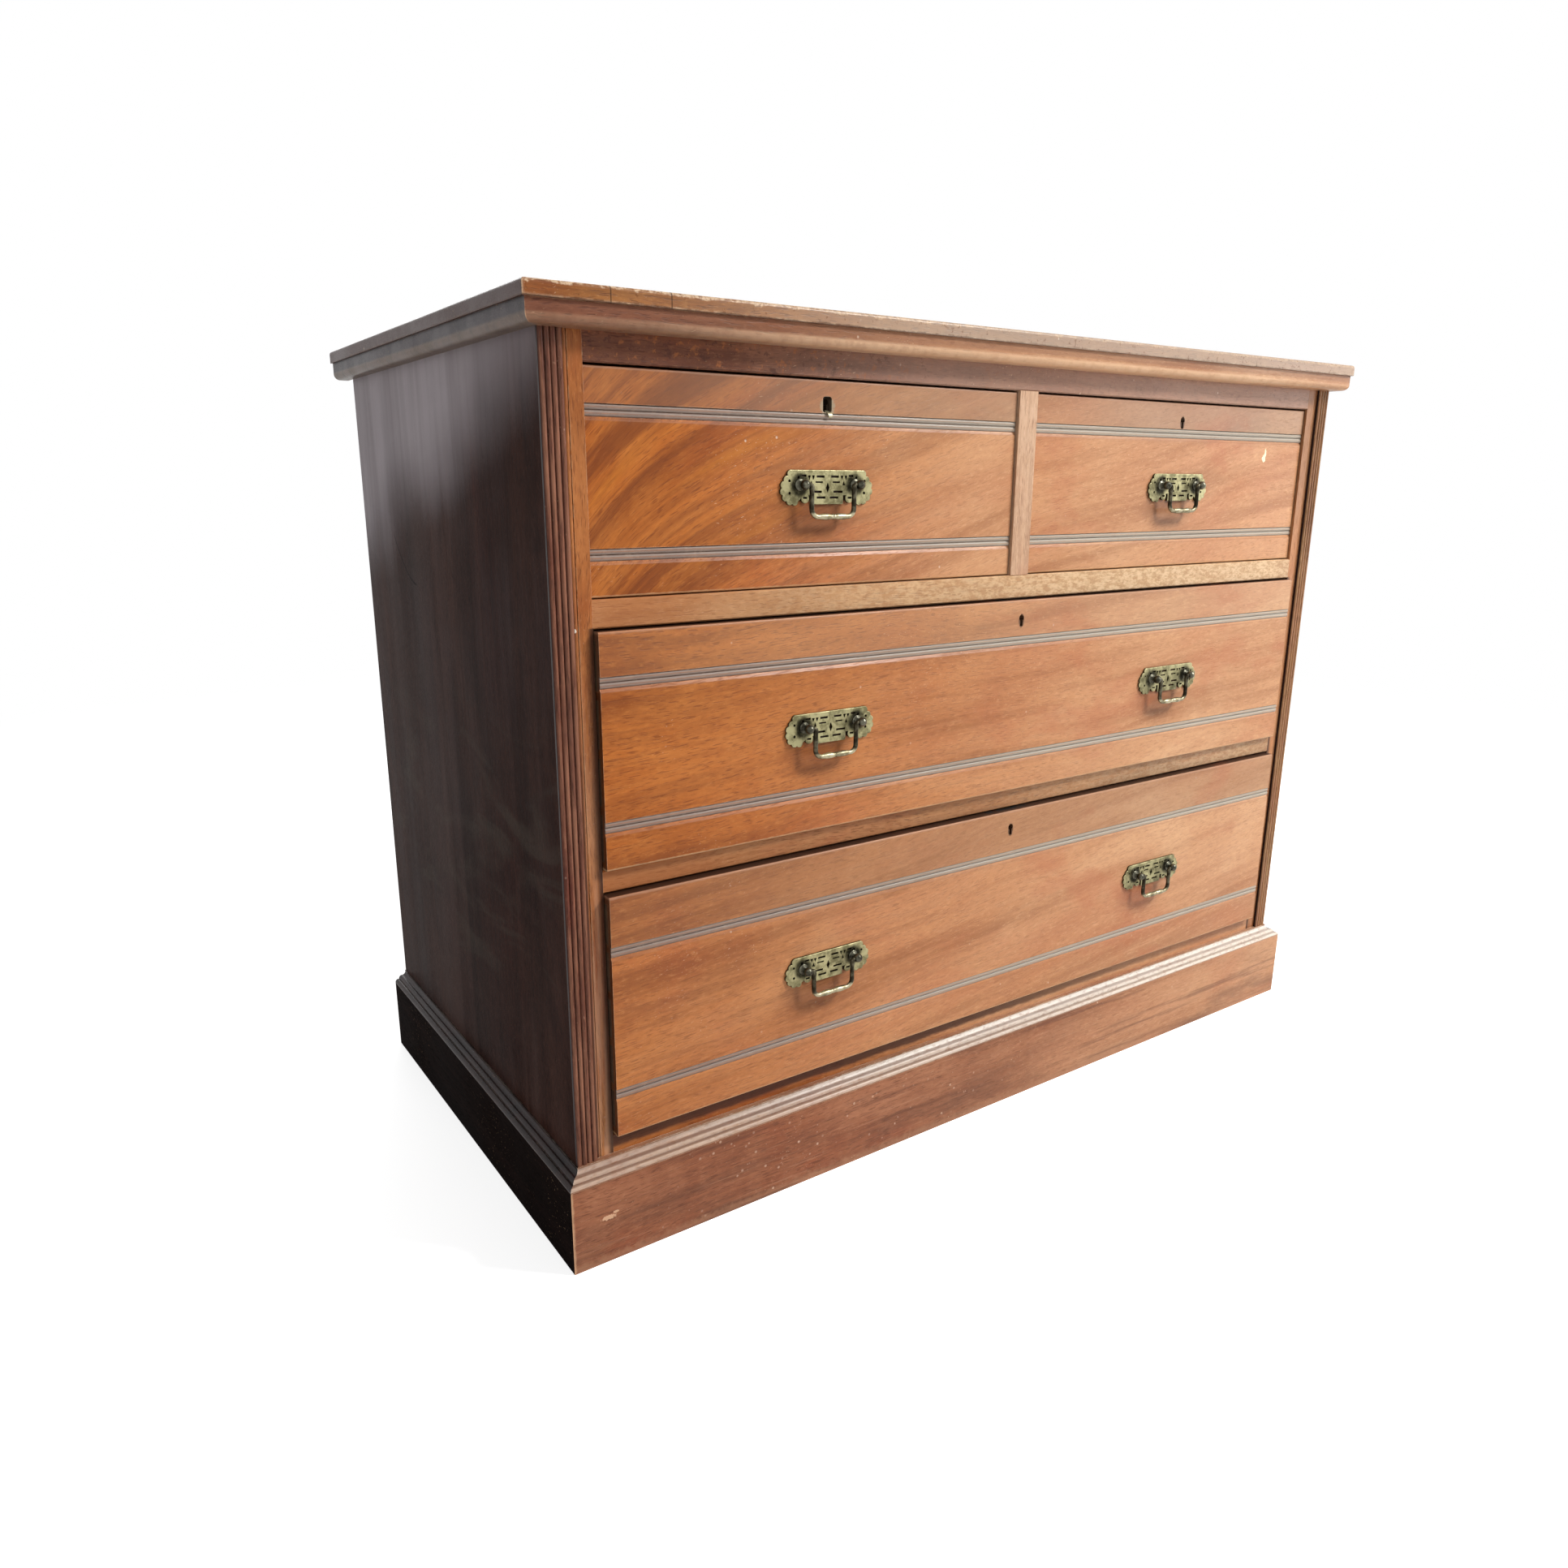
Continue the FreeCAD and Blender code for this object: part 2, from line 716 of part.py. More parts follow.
def drawer_back(drawer):
    z0, z1 = back_levels(drawer)
    t = drawer_side_thickness
    board = block(drawer.left + t, drawer.right - t, drawer.rear - drawer_back_thickness,
                  drawer.rear, z0, z1)
    pins = [back_pins(drawer, x0, x1) for x0, x1 in side_spans(drawer)]
    return fused([board] + pins)


def drawer_bottom(drawer):
    """A panel in grooves in the front and sides, running out under the back."""
    inset = drawer_side_thickness - drawer_groove
    return block(drawer.left + inset, drawer.right - inset, drawer.front_back - drawer_groove,
                 drawer.rear, drawer.bottom_low, drawer.bottom_high)


def drawer_front(drawer):
    """The moulded front, cut for dovetails, bottom, lock, keyhole and handle posts."""
    tools = front_tails(drawer)
    tools += [drawer_bottom(drawer), lock_space(drawer)]
    tools.append(keyhole(drawer, drawer.face - 1, drawer.front_back - lock_thickness))
    hole = drilling(shank_radius + shank_clearance, drawer.face - 1, drawer.front_back + 1)
    tools += [hole.translated(Vector(x, 0, drawer.handle_z)) for x in post_places(drawer)]
    if drawer.worn_keyhole:
        tools.append(worn_opening(drawer))
    return cut_all(moulded_front(drawer), tools)


# --- Locks ---------------------------------------------------------------------------------------
def keyhole(drawer, y0, y1):
    """A round head over a slot, from y0 to y1."""
    head = turned([(keyhole_radius, y0), (keyhole_radius, y1)], keyhole_sides)
    head = head.translated(Vector(drawer.middle, 0, drawer.key_z))
    half = keyhole_slot / 2
    slot = block(drawer.middle - half, drawer.middle + half, y0, y1,
                 drawer.key_z - keyhole_length, drawer.key_z)
    return head.fuse(slot).removeSplitter()


def worn_opening(drawer):
    """The shallow, blunt-cornered opening worn round a keyhole."""
    w, c = worn_half_width, worn_corner
    outline = [(-w, c - worn_down), (c - w, -worn_down), (w - c, -worn_down), (w, c - worn_down),
               (w, worn_up - c), (w - c, worn_up), (c - w, worn_up), (-w, worn_up - c)]
    cutter = flat_plate(outline, drawer.face - 1, drawer.face + worn_depth)
    return cutter.translated(Vector(drawer.middle, 0, drawer.key_z))


def lock_space(drawer):
    """The recess for the lock: its case at the back of the front and its plate on top."""
    half = lock_width / 2
    back, high = drawer.front_back, drawer.high
    case = block(drawer.middle - half, drawer.middle + half, back - lock_thickness, back,
                 high - lock_height, high)
    plate = block(drawer.middle - half, drawer.middle + half, back - lock_plate_depth, back,
                  high - lock_plate, high)
    return case.fuse(plate).removeSplitter()


def bolt_block(drawer, gap, depth):
    """The lock bolt's shape, grown by a gap on its sides, reaching down by a depth."""
    half = bolt_width / 2 + gap
    y = drawer.front_back - bolt_inset
    return block(drawer.middle - half, drawer.middle + half, y - bolt_thickness / 2 - gap,
                 y + bolt_thickness / 2 + gap, drawer.high - depth, drawer.high)


def lock_case(drawer):
    """A case with a slot for the bolt and a well for the key."""
    pocket = bolt_block(drawer, bolt_clearance, bolt_height + 2)
    half = keyhole_slot / 2
    well = block(drawer.middle - half, drawer.middle + half, drawer.front_back - lock_thickness,
                 drawer.front_back - lock_plate, drawer.key_z - keyhole_length, drawer.key_z)
    return cut_all(lock_space(drawer), [pocket, well])


def lock_bolt(drawer):
    return bolt_block(drawer, 0.0, bolt_height)


# --- Handles -------------------------------------------------------------------------------------
def ring(radius, y, sides):
    """The corners of a regular polygon about the Y axis, with a flat on each side of it."""
    angles = [2 * math.pi * (i + 0.5) / sides for i in range(sides)]
    return [Vector(radius * math.sin(angle), y, radius * math.cos(angle)) for angle in angles]


def turned(profile, sides=turned_sides):
    """A piece turned about the Y axis, through (radius, y) steps from one end to the other."""
    rings = [ring(radius, y, sides) for radius, y in profile]
    faces = [flat_face(rings[0]), flat_face(rings[-1])]
    for near, far in zip(rings, rings[1:]):
        for i in range(sides):
            faces.append(flat_face([near[i - 1], near[i], far[i], far[i - 1]]))
    return Part.Solid(Part.Shell(faces))


def round_bar(radius, y0, y1):
    return turned([(radius, y0), (radius, y1)], pin_sides)


def drilling(radius, y0, y1):
    """A hole along the Y axis that a round bar of this radius turns in."""
    return round_bar(radius / math.cos(math.pi / pin_sides), y0, y1)


def along_x(shape):
    """A piece turned about the Y axis, laid along the X axis instead."""
    return shape.rotated(Vector(0, 0, 0), Vector(0, 0, 1), -90)


def post_places(drawer):
    return [x + side * post_half_spacing for x in drawer.handle_xs for side in (-1, 1)]


def flat_plate(points, y0, y1):
    """A flat piece between y0 and y1 with a straight-sided outline of (x, z) points."""
    return prism([Vector(x, y0, z) for x, z in points], Vector(0, y1 - y0, 0))


def rectangle(x, z, length, tall):
    return [(x - length / 2, z - tall / 2), (x + length / 2, z - tall / 2),
            (x + length / 2, z + tall / 2), (x - length / 2, z + tall / 2)]


def lozenge(x, z, half_length, half_height):
    return [(x - half_length, z), (x, z - half_height), (x + half_length, z),
            (x, z + half_height)]


def lobe(x, z, radius, start, end, count):
    """Points along the edge of a rounded lobe, between two angles about its centre."""
    angles = [math.radians(start + (end - start) * i / (count - 1)) for i in range(count)]
    return [(x + radius * math.cos(angle), z + radius * math.sin(angle)) for angle in angles]


def scalloped_edge():
    """The outer edge of the right-hand roundel: small lobes, with a notch before each."""
    points = []
    for i in range(scallop_count):
        angle = scallop_start + scallop_step * i
        notch = math.radians(angle - scallop_step / 2)
        middle = math.radians(angle)
        points.append((roundel_x + scallop_orbit * math.cos(notch),
                       roundel_z + scallop_orbit * math.sin(notch)))
        points += lobe(roundel_x + scallop_orbit * math.cos(middle),
                       roundel_z + scallop_orbit * math.sin(middle),
                       scallop_radius, angle - 60, angle + 60, 3)
    return points


def plate_blank():
    """The backplate before piercing: bar, apron, scalloped roundels and small ears."""
    right = [(apron_half_width, plate_apron), (apron_half_width, earlet_z)]
    right += lobe(earlet_x, earlet_z, earlet_radius, -170, -10, 4)
    right += scalloped_edge()
    right += lobe(plate_half_length - scallop_radius, plate_top - scallop_radius,
                  scallop_radius, -10, 90, 4)
    left = [(-x, z) for x, z in reversed(right)]
    return flat_plate(right + left, -plate_thickness, 0)


def plate_piercings():
    """The fret: a lozenge in the middle, rows of slots, and an eye in each roundel."""
    right = [rectangle(fret_slot_x, row, fret_slot_length, fret_slot) for row in fret_rows]
    right.append(rectangle(earlet_x, earlet_z + fret_slot / 2, earlet_radius, fret_slot))
    right.append(lozenge(fret_eye_x, fret_eye_z, 1.4 * fret_slot, 2 * fret_slot))
    wedge_top = fret_rows[0] + fret_slot / 2
    right.append([(fret_wedge_x - fret_wedge_half, wedge_top),
                  (fret_wedge_x + fret_wedge_half, wedge_top),
                  (fret_wedge_x, wedge_top - fret_wedge_height)])
    left = [[(-x, z) for x, z in outline] for outline in right]
    middle = lozenge(0, fret_lozenge_z, 1.4 * fret_slot, 3 * fret_slot)
    return [flat_plate(outline, -plate_thickness - 1, 1) for outline in [middle] + right + left]


def handle_plate():
    """One pierced backplate about its own middle, its rear face at y = 0."""
    hole = drilling(shank_radius + shank_clearance, -plate_thickness - 1, 1)
    holes = both_sides(hole.translated(Vector(post_half_spacing, 0, 0)))
    return cut_all(plate_blank(), plate_piercings() + holes)


def handle_post():
    """A turned post: shank through the front, flange on the plate and a drilled ball."""
    seat = -plate_thickness
    rim = seat - post_flange_thickness
    ball_back = post_ball_radius - post_reach
    belly_back = post_belly / 2 - post_reach
    shank = round_bar(shank_radius, seat, front_thickness + shank_proud)
    head = turned([(post_flange_radius, seat), (post_neck_radius, rim),
                   (post_neck_radius, ball_back), (post_ball_radius, belly_back),
                   (post_ball_radius, belly_back - post_belly),
                   (post_tip_radius, ball_back - 2 * post_ball_radius)])
    eye = along_x(drilling(bail_pin_radius + bail_pin_clearance,
                           -2 * post_ball_radius, 2 * post_ball_radius))
    return shank.fuse(head).removeSplitter().cut(eye.translated(Vector(0, -post_reach, 0)))


def handle_nut():
    """A square nut on the shank, against the inside of the drawer front."""
    half = nut_size / 2
    nut = block(-half, half, front_thickness, front_thickness + nut_thickness, -half, half)
    return nut.cut(round_bar(shank_radius, 0, front_thickness + shank_proud))


def bail():
    """The swinging drop, hanging from its axis along X through the origin."""
    right = bail_arm()
    pin_start = bail_half_width + bail_shoulder
    pin = along_x(round_bar(bail_pin_radius, pin_start, pin_start + bail_pin_length))
    return fused([bail_grip()] + both_sides(right) + both_sides(pin))


def bail_arm():
    """The right-hand arm: a rod from the pivot pin down and round into the lower bar."""
    centre = Vector(bail_half_width - bail_corner, 0, bail_corner - bail_drop)
    points = [Vector(bail_half_width + bail_shoulder, 0, 0), Vector(bail_half_width, 0, 0)]
    for i in range(bail_bend_steps + 1):
        angle = math.pi / 2 * i / bail_bend_steps
        points.append(centre + Vector(math.cos(angle), 0, -math.sin(angle)) * bail_corner)
    points.append(Vector(bail_grip_length / 2, 0, -bail_drop))
    path = Part.makePolygon(points)
    section = along_x(flat_face(ring(bail_radius, points[0].x, turned_sides)).OuterWire)
    return path.makePipeShell([section], True, False, 1)


def bail_grip():
    """The lower bar: two spindle swellings with a notch between them."""
    end = bail_grip_length / 2
    notch = bail_notch_width / 2
    half = [(bail_notch_radius, notch), (bail_grip_radius, end / 2), (bail_radius, end)]
    profile = [(radius, -x) for radius, x in reversed(half)] + half
    return along_x(turned(profile)).translated(Vector(0, 0, -bail_drop))


def placed(shape, drawer, x):
    """A handle piece moved from its own middle to its place on a drawer front."""
    return shape.translated(Vector(x, drawer.face, drawer.handle_z))


# --- Write the nodes -------------------------------------------------------------------------------
def write_carcass():
    save("top_board", [top_board()])
    save("top_moulding", top_moulding())
    for name, shape in (("side_panel", right_side_panel()), ("pilaster", right_pilaster())):
        save(name + "_right", [shape])
        save(name + "_left", [mirrored(shape)])
    save("stiles", both_sides(right_stile()))
    save("top_rail", [top_rail()])
    save("upper_rail", [upper_rail()])
    save("lower_rail", [lower_rail()])
    save("bottom_rail", [bottom_rail()])
    save("muntin", [muntin()])
    save("bottom_board", [bottom_board()])
    save("dustboards", dust_panels(upper_level) + dust_panels(lower_level))
    save("drawer_runners", runners())
    save("drawer_guides", guides())
    save("drawer_stops", drawer_stops())
    save("back_boards", back_boards())
    save("glue_blocks", glue_blocks())
    front, side = frame_pieces(plinth_projection, 0, plinth_height, carcass_depth)
    save("plinth_front", [front])
    save("plinth_sides", both_sides(side))
    save("plinth_moulding", plinth_moulding())


def write_drawer(drawer, plate, post, nut):
    prefix = drawer.name + "_drawer_"
    save(prefix + "front", [drawer_front(drawer)])
    save(prefix + "sides", drawer_sides(drawer))
    save(prefix + "back", [drawer_back(drawer)])
    save(prefix + "bottom", [drawer_bottom(drawer)])
    save(prefix + "lock_case", [lock_case(drawer)])
    save(prefix + "lock_bolt", [lock_bolt(drawer)])
    save(prefix + "handle_plates", [placed(plate, drawer, x) for x in drawer.handle_xs])
    places = post_places(drawer)
    save(prefix + "handle_posts", [placed(piece, drawer, x) for x in places
                                   for piece in (post, nut)])


def write_bails(drawer, hanging):
    ends = ["left", "right"] if len(drawer.handle_xs) == 2 else [""]
    for end, x in zip(ends, drawer.handle_xs):
        name = "_".join(part for part in (drawer.name, end, "bail") if part)
        save(name, [placed(hanging, drawer, x)])


def main():
    os.makedirs("parts", exist_ok=True)
    write_carcass()
    plate, post, nut = handle_plate(), handle_post(), handle_nut()
    hanging = bail().translated(Vector(0, -post_reach, 0))
    for drawer in drawers:
        write_drawer(drawer, plate, post, nut)
        write_bails(drawer, hanging)


main()
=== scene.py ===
import math

import bmesh
import bpy
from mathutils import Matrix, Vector, geometry


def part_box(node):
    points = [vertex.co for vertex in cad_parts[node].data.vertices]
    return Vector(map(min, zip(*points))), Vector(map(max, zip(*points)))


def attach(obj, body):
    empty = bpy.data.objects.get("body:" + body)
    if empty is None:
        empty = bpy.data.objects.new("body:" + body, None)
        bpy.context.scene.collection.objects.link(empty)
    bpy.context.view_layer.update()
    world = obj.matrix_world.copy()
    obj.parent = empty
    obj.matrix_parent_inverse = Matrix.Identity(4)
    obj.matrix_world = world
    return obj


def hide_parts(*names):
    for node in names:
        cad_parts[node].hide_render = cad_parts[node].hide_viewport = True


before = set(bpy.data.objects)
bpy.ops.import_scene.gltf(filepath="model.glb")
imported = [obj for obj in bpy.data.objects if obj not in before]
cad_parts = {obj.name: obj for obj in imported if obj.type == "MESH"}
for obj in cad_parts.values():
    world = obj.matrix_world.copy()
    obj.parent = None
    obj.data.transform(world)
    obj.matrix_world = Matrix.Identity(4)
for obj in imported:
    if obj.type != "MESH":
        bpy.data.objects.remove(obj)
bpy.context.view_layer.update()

MM = 0.001
PI = math.pi

# ------------ sizes, in millimetres
KEY_DROP = 18.0  # from a front's upper edge to its keyhole's round head
PLATE_THICK = 2.2
PLATE_SOFT = 0.5  # how far a plate's edge is rounded off
FRET_SOFT = 0.25  # and the edges of its openings
POST_SPACING = 30.5  # from a handle's middle to each post
POST_REACH = 10.5  # from the drawer front to the bail's axis
POST_BALL = 4.5
BAIL_HALF = 23.4
BAIL_DROP = 27.4
BAIL_ROD = 2.2
BAIL_CORNER = 7.0
BAIL_PIN = 1.4
HANDLE_X = 246.65
PLATE_SHADE = (-44.0, 44.0)  # the painted shade behind a plate, across
BAND_REEDS = (-3.4, 6.7)  # a band's reeds, from its middle
BAND_LIP = (-6.6, -5.0)  # and the slope under them

# ------------ places, in metres
BACK_JOINTS = (-0.2987, -0.0969, 0.1049, 0.3067)  # where the back boards meet
EDGE_CUTS = (-0.4656, -0.4141)  # across the top's front edge
REED_VALLEYS = (0.0834, 0.0872, 0.0914)  # heights on the plinth moulding
REED_TOP = 0.09  # where its reeds end and its hollow starts
STILE_FLECK = (-0.4964, 0.5716)
GOUGE = ((-0.4963, 0.0457), (-0.489, 0.049))  # its two halves on the plinth
CHIP = ((0.4065, 0.716), (0.4085, 0.7215))  # on the top right drawer
SCRATCH = (0.117, 0.601)  # y and z on the left side

# Each drawer's handles, and how far its bands are from the front's lower and upper edges.
DRAWERS = {"top_left": (("top_left",), (32.0, 34.0)),
           "top_right": (("top_right",), (32.0, 34.0)),
           "upper": (("upper_left", "upper_right"), (36.5, 43.0)),
           "lower": (("lower_left", "lower_right"), (41.0, 52.0))}


def handle_x(tag):
    return HANDLE_X if tag.endswith("right") else -HANDLE_X


# ------------ materials
def rgb(red, green, blue):
    """A colour as it looks on screen (0 to 255), as Blender's linear numbers."""
    def linear(value):
        value /= 255
        return value / 12.92 if value <= 0.04045 else ((value + 0.055) / 1.055) ** 2.4
    return (linear(red), linear(green), linear(blue), 1.0)


class Nodes:
    """A node tree, built up through short calls."""

    def __init__(self, tree):
        self.tree = tree
        tree.nodes.clear()

    def add(self, kind, inputs=None, **settings):
        node = self.tree.nodes.new("ShaderNode" + kind)
        for key, value in settings.items():
            setattr(node, key, value)
        for key, value in (inputs or {}).items():
            self.feed(node.inputs[key], value)
        return node

    def feed(self, socket, value):
        if isinstance(value, bpy.types.NodeSocket):
            self.tree.links.new(value, socket)
        else:
            socket.default_value = value

    def math(self, operation, a, b=0.0, clamp=False):
        return self.add("Math", {0: a, 1: b}, operation=operation, use_clamp=clamp).outputs[0]

    def plus(self, a, b, clamp=False):
        return self.math("ADD", a, b, clamp)

    def minus(self, a, b):
        return self.math("SUBTRACT", a, b)

    def size(self, value):
        return self.math("ABSOLUTE", value)

    def most(self, a, b):
        return self.math("MAXIMUM", a, b)

    def least(self, a, b):
        return self.math("MINIMUM", a, b)

    def times(self, *values):
        result = values[0]
        for value in values[1:]:
            result = self.math("MULTIPLY", result, value)
        return result

    def step(self, value, low, high, start=0.0, end=1.0):
        """Goes smoothly from start to end as the value goes from low to high."""
        node = self.add("MapRange", {0: value, 1: low, 2: high, 3: start, 4: end},
                        interpolation_type="SMOOTHSTEP")
        return node.outputs[0]

    def fall(self, value, low, high):
        return self.step(value, low, high, 1.0, 0.0)

    def window(self, value, low, high, soft):
        """One between low and high, and zero outside."""
        return self.times(self.step(value, low - soft, low + soft),
                          self.fall(value, high - soft, high + soft))

    def rise(self, value, place, low, high, start=0.0, end=1.0):
        """A step near a place, with low and high in millimetres from it."""
        return self.step(value, place + low * MM, place + high * MM, start, end)

    def drop(self, value, place, low, high):
        return self.rise(value, place, low, high, 1.0, 0.0)

    def band(self, value, place, low, high, soft=0.3):
        """A window near a place, in millimetres too."""
        return self.window(value, place + low * MM, place + high * MM, soft * MM)

    def sway(self, noise, reach):
        """A noise brought to lie about zero, and stretched to a reach."""
        return self.times(self.minus(noise, 0.5), reach)

    def mix(self, factor, a, b, blend="MIX"):
        node = self.add("Mix", {0: factor, 6: a, 7: b}, data_type="RGBA", blend_type=blend)
        return node.outputs[2]

    def axes(self, vector):
        return self.add("SeparateXYZ", {0: vector}).outputs

    def length(self, vector):
        return self.add("VectorMath", {0: vector}, operation="LENGTH").outputs["Value"]

    def moved(self, place, x=0.0, y=0.0, z=0.0):
        offset = self.add("CombineXYZ", {0: x, 1: y, 2: z}).outputs[0]
        return self.add("VectorMath", {0: place, 1: offset}, operation="ADD").outputs[0]

    def laid(self, place, scale, shift=(0, 0, 0), turn=(0, 0, 0)):
        scale = scale if isinstance(scale, tuple) else (scale, scale, scale)
        node = self.add("Mapping", {"Vector": place, "Location": shift, "Rotation": turn,
                                    "Scale": scale})
        return node.outputs[0]

    def ground_seen(self):
        """One for the rays that see the white ground: the camera's and the mirrored ones."""
        rays = self.add("LightPath").outputs
        seen = self.most(rays["Is Camera Ray"], rays["Is Glossy Ray"])
        return self.most(seen, rays["Is Transmission Ray"])


class Finish(Nodes):
    """A material. Its colour is what has been laid on so far."""

    def __init__(self, name):
        self.material = bpy.data.materials.new(name)
        self.material.use_nodes = True
        super().__init__(self.material.node_tree)
        self.place = self.add("TexCoord").outputs["Object"]
        self.x, self.y, self.z = self.axes(self.place)
        self.colour = None

    def lay(self, tone, *amounts, blend="MIX"):
        """Turns the colour to a tone, as far as the amounts multiplied together."""
        self.colour = self.mix(self.times(*amounts), self.colour, tone, blend)

    def layers(self, *rows):
        """Lays tones in turn, each row as (value, none at, full at, how far, tone)."""
        for value, none, full, amount, tone in rows:
            ramp = self.step(value, none, full) if none < full else self.fall(value, full, none)
            self.lay(tone, ramp, amount)

    def noise(self, scale, detail=2.0, rough=0.5, shift=(0, 0, 0), twist=0.0, place=None):
        where = self.laid(place or self.place, scale, shift)
        node = self.add("TexNoise", {"Vector": where, "Scale": 1.0, "Detail": detail,
                                     "Roughness": rough, "Distortion": twist})
        return node.outputs[0]

    def dots(self, scale, shift, channel, size, chosen):
        """Round dots, soft over a range of sizes, in the cells chosen by a colour channel."""
        cells = self.add("TexVoronoi", {"Vector": self.laid(self.place, scale, shift),
                                        "Scale": 1.0}).outputs
        dot = self.fall(cells["Distance"], *size)
        return self.times(dot, self.step(self.axes(cells["Color"])[channel], *chosen))

    def facing(self, axis):
        """One where the surface faces along an axis, either way if the axis is X."""
        normal = self.axes(self.add("NewGeometry").outputs["Normal"])[axis]
        return self.step(self.size(normal) if axis == 0 else normal, 0.75, 0.95)

    def edges(self, radius):
        """How sharply the surface turns within a radius: one on an arris, zero on a flat."""
        rounded = self.add("Bevel", {"Radius": radius}, samples=6).outputs[0]
        true = self.add("NewGeometry").outputs["Normal"]
        dot = self.add("VectorMath", {0: rounded, 1: true}, operation="DOT_PRODUCT")
        return self.math("SUBTRACT", 1.0, dot.outputs["Value"], clamp=True)

    def finish(self, roughness, height, bump, strength, **fixed):
        """Joins up the shader. The values in fixed are the same all over the surface."""
        shader = self.add("BsdfPrincipled", {"Base Color": self.colour, "Roughness": roughness})
        for key, value in fixed.items():
            name = key.replace("_", " ").title().replace("Ior", "IOR")
            shader.inputs[name].default_value = value
        node = self.add("Bump", {"Height": height, "Distance": bump, "Strength": strength})
        self.feed(shader.inputs["Normal"], node.outputs[0])
        self.feed(self.add("OutputMaterial").inputs[0], shader.outputs[0])
        return self.material


TURNS = {"X": (0.0, 0.0, 0.0), "Y": (0.0, 0.0, -PI / 2), "Z": (0.0, PI / 2, 0.0)}
# Paler tones laid on towards the right: painted sheen, partly sun fading.
FADED_SHEEN, FADED_SHEEN_DARK = rgb(206, 155, 114), rgb(166, 112, 74)
FADED_SHEEN_LIGHT, FADED_SHEEN_RED = rgb(230, 188, 146), rgb(188, 120, 82)
GOLDEN, RUDDY = rgb(196, 118, 42), rgb(168, 66, 40)
DARK_STAIN = (rgb(46, 27, 25), rgb(27, 15, 14))
GREY_STAIN = (rgb(80, 70, 72), rgb(48, 39, 41))
PAINTED_SHADE = rgb(40, 22, 16)


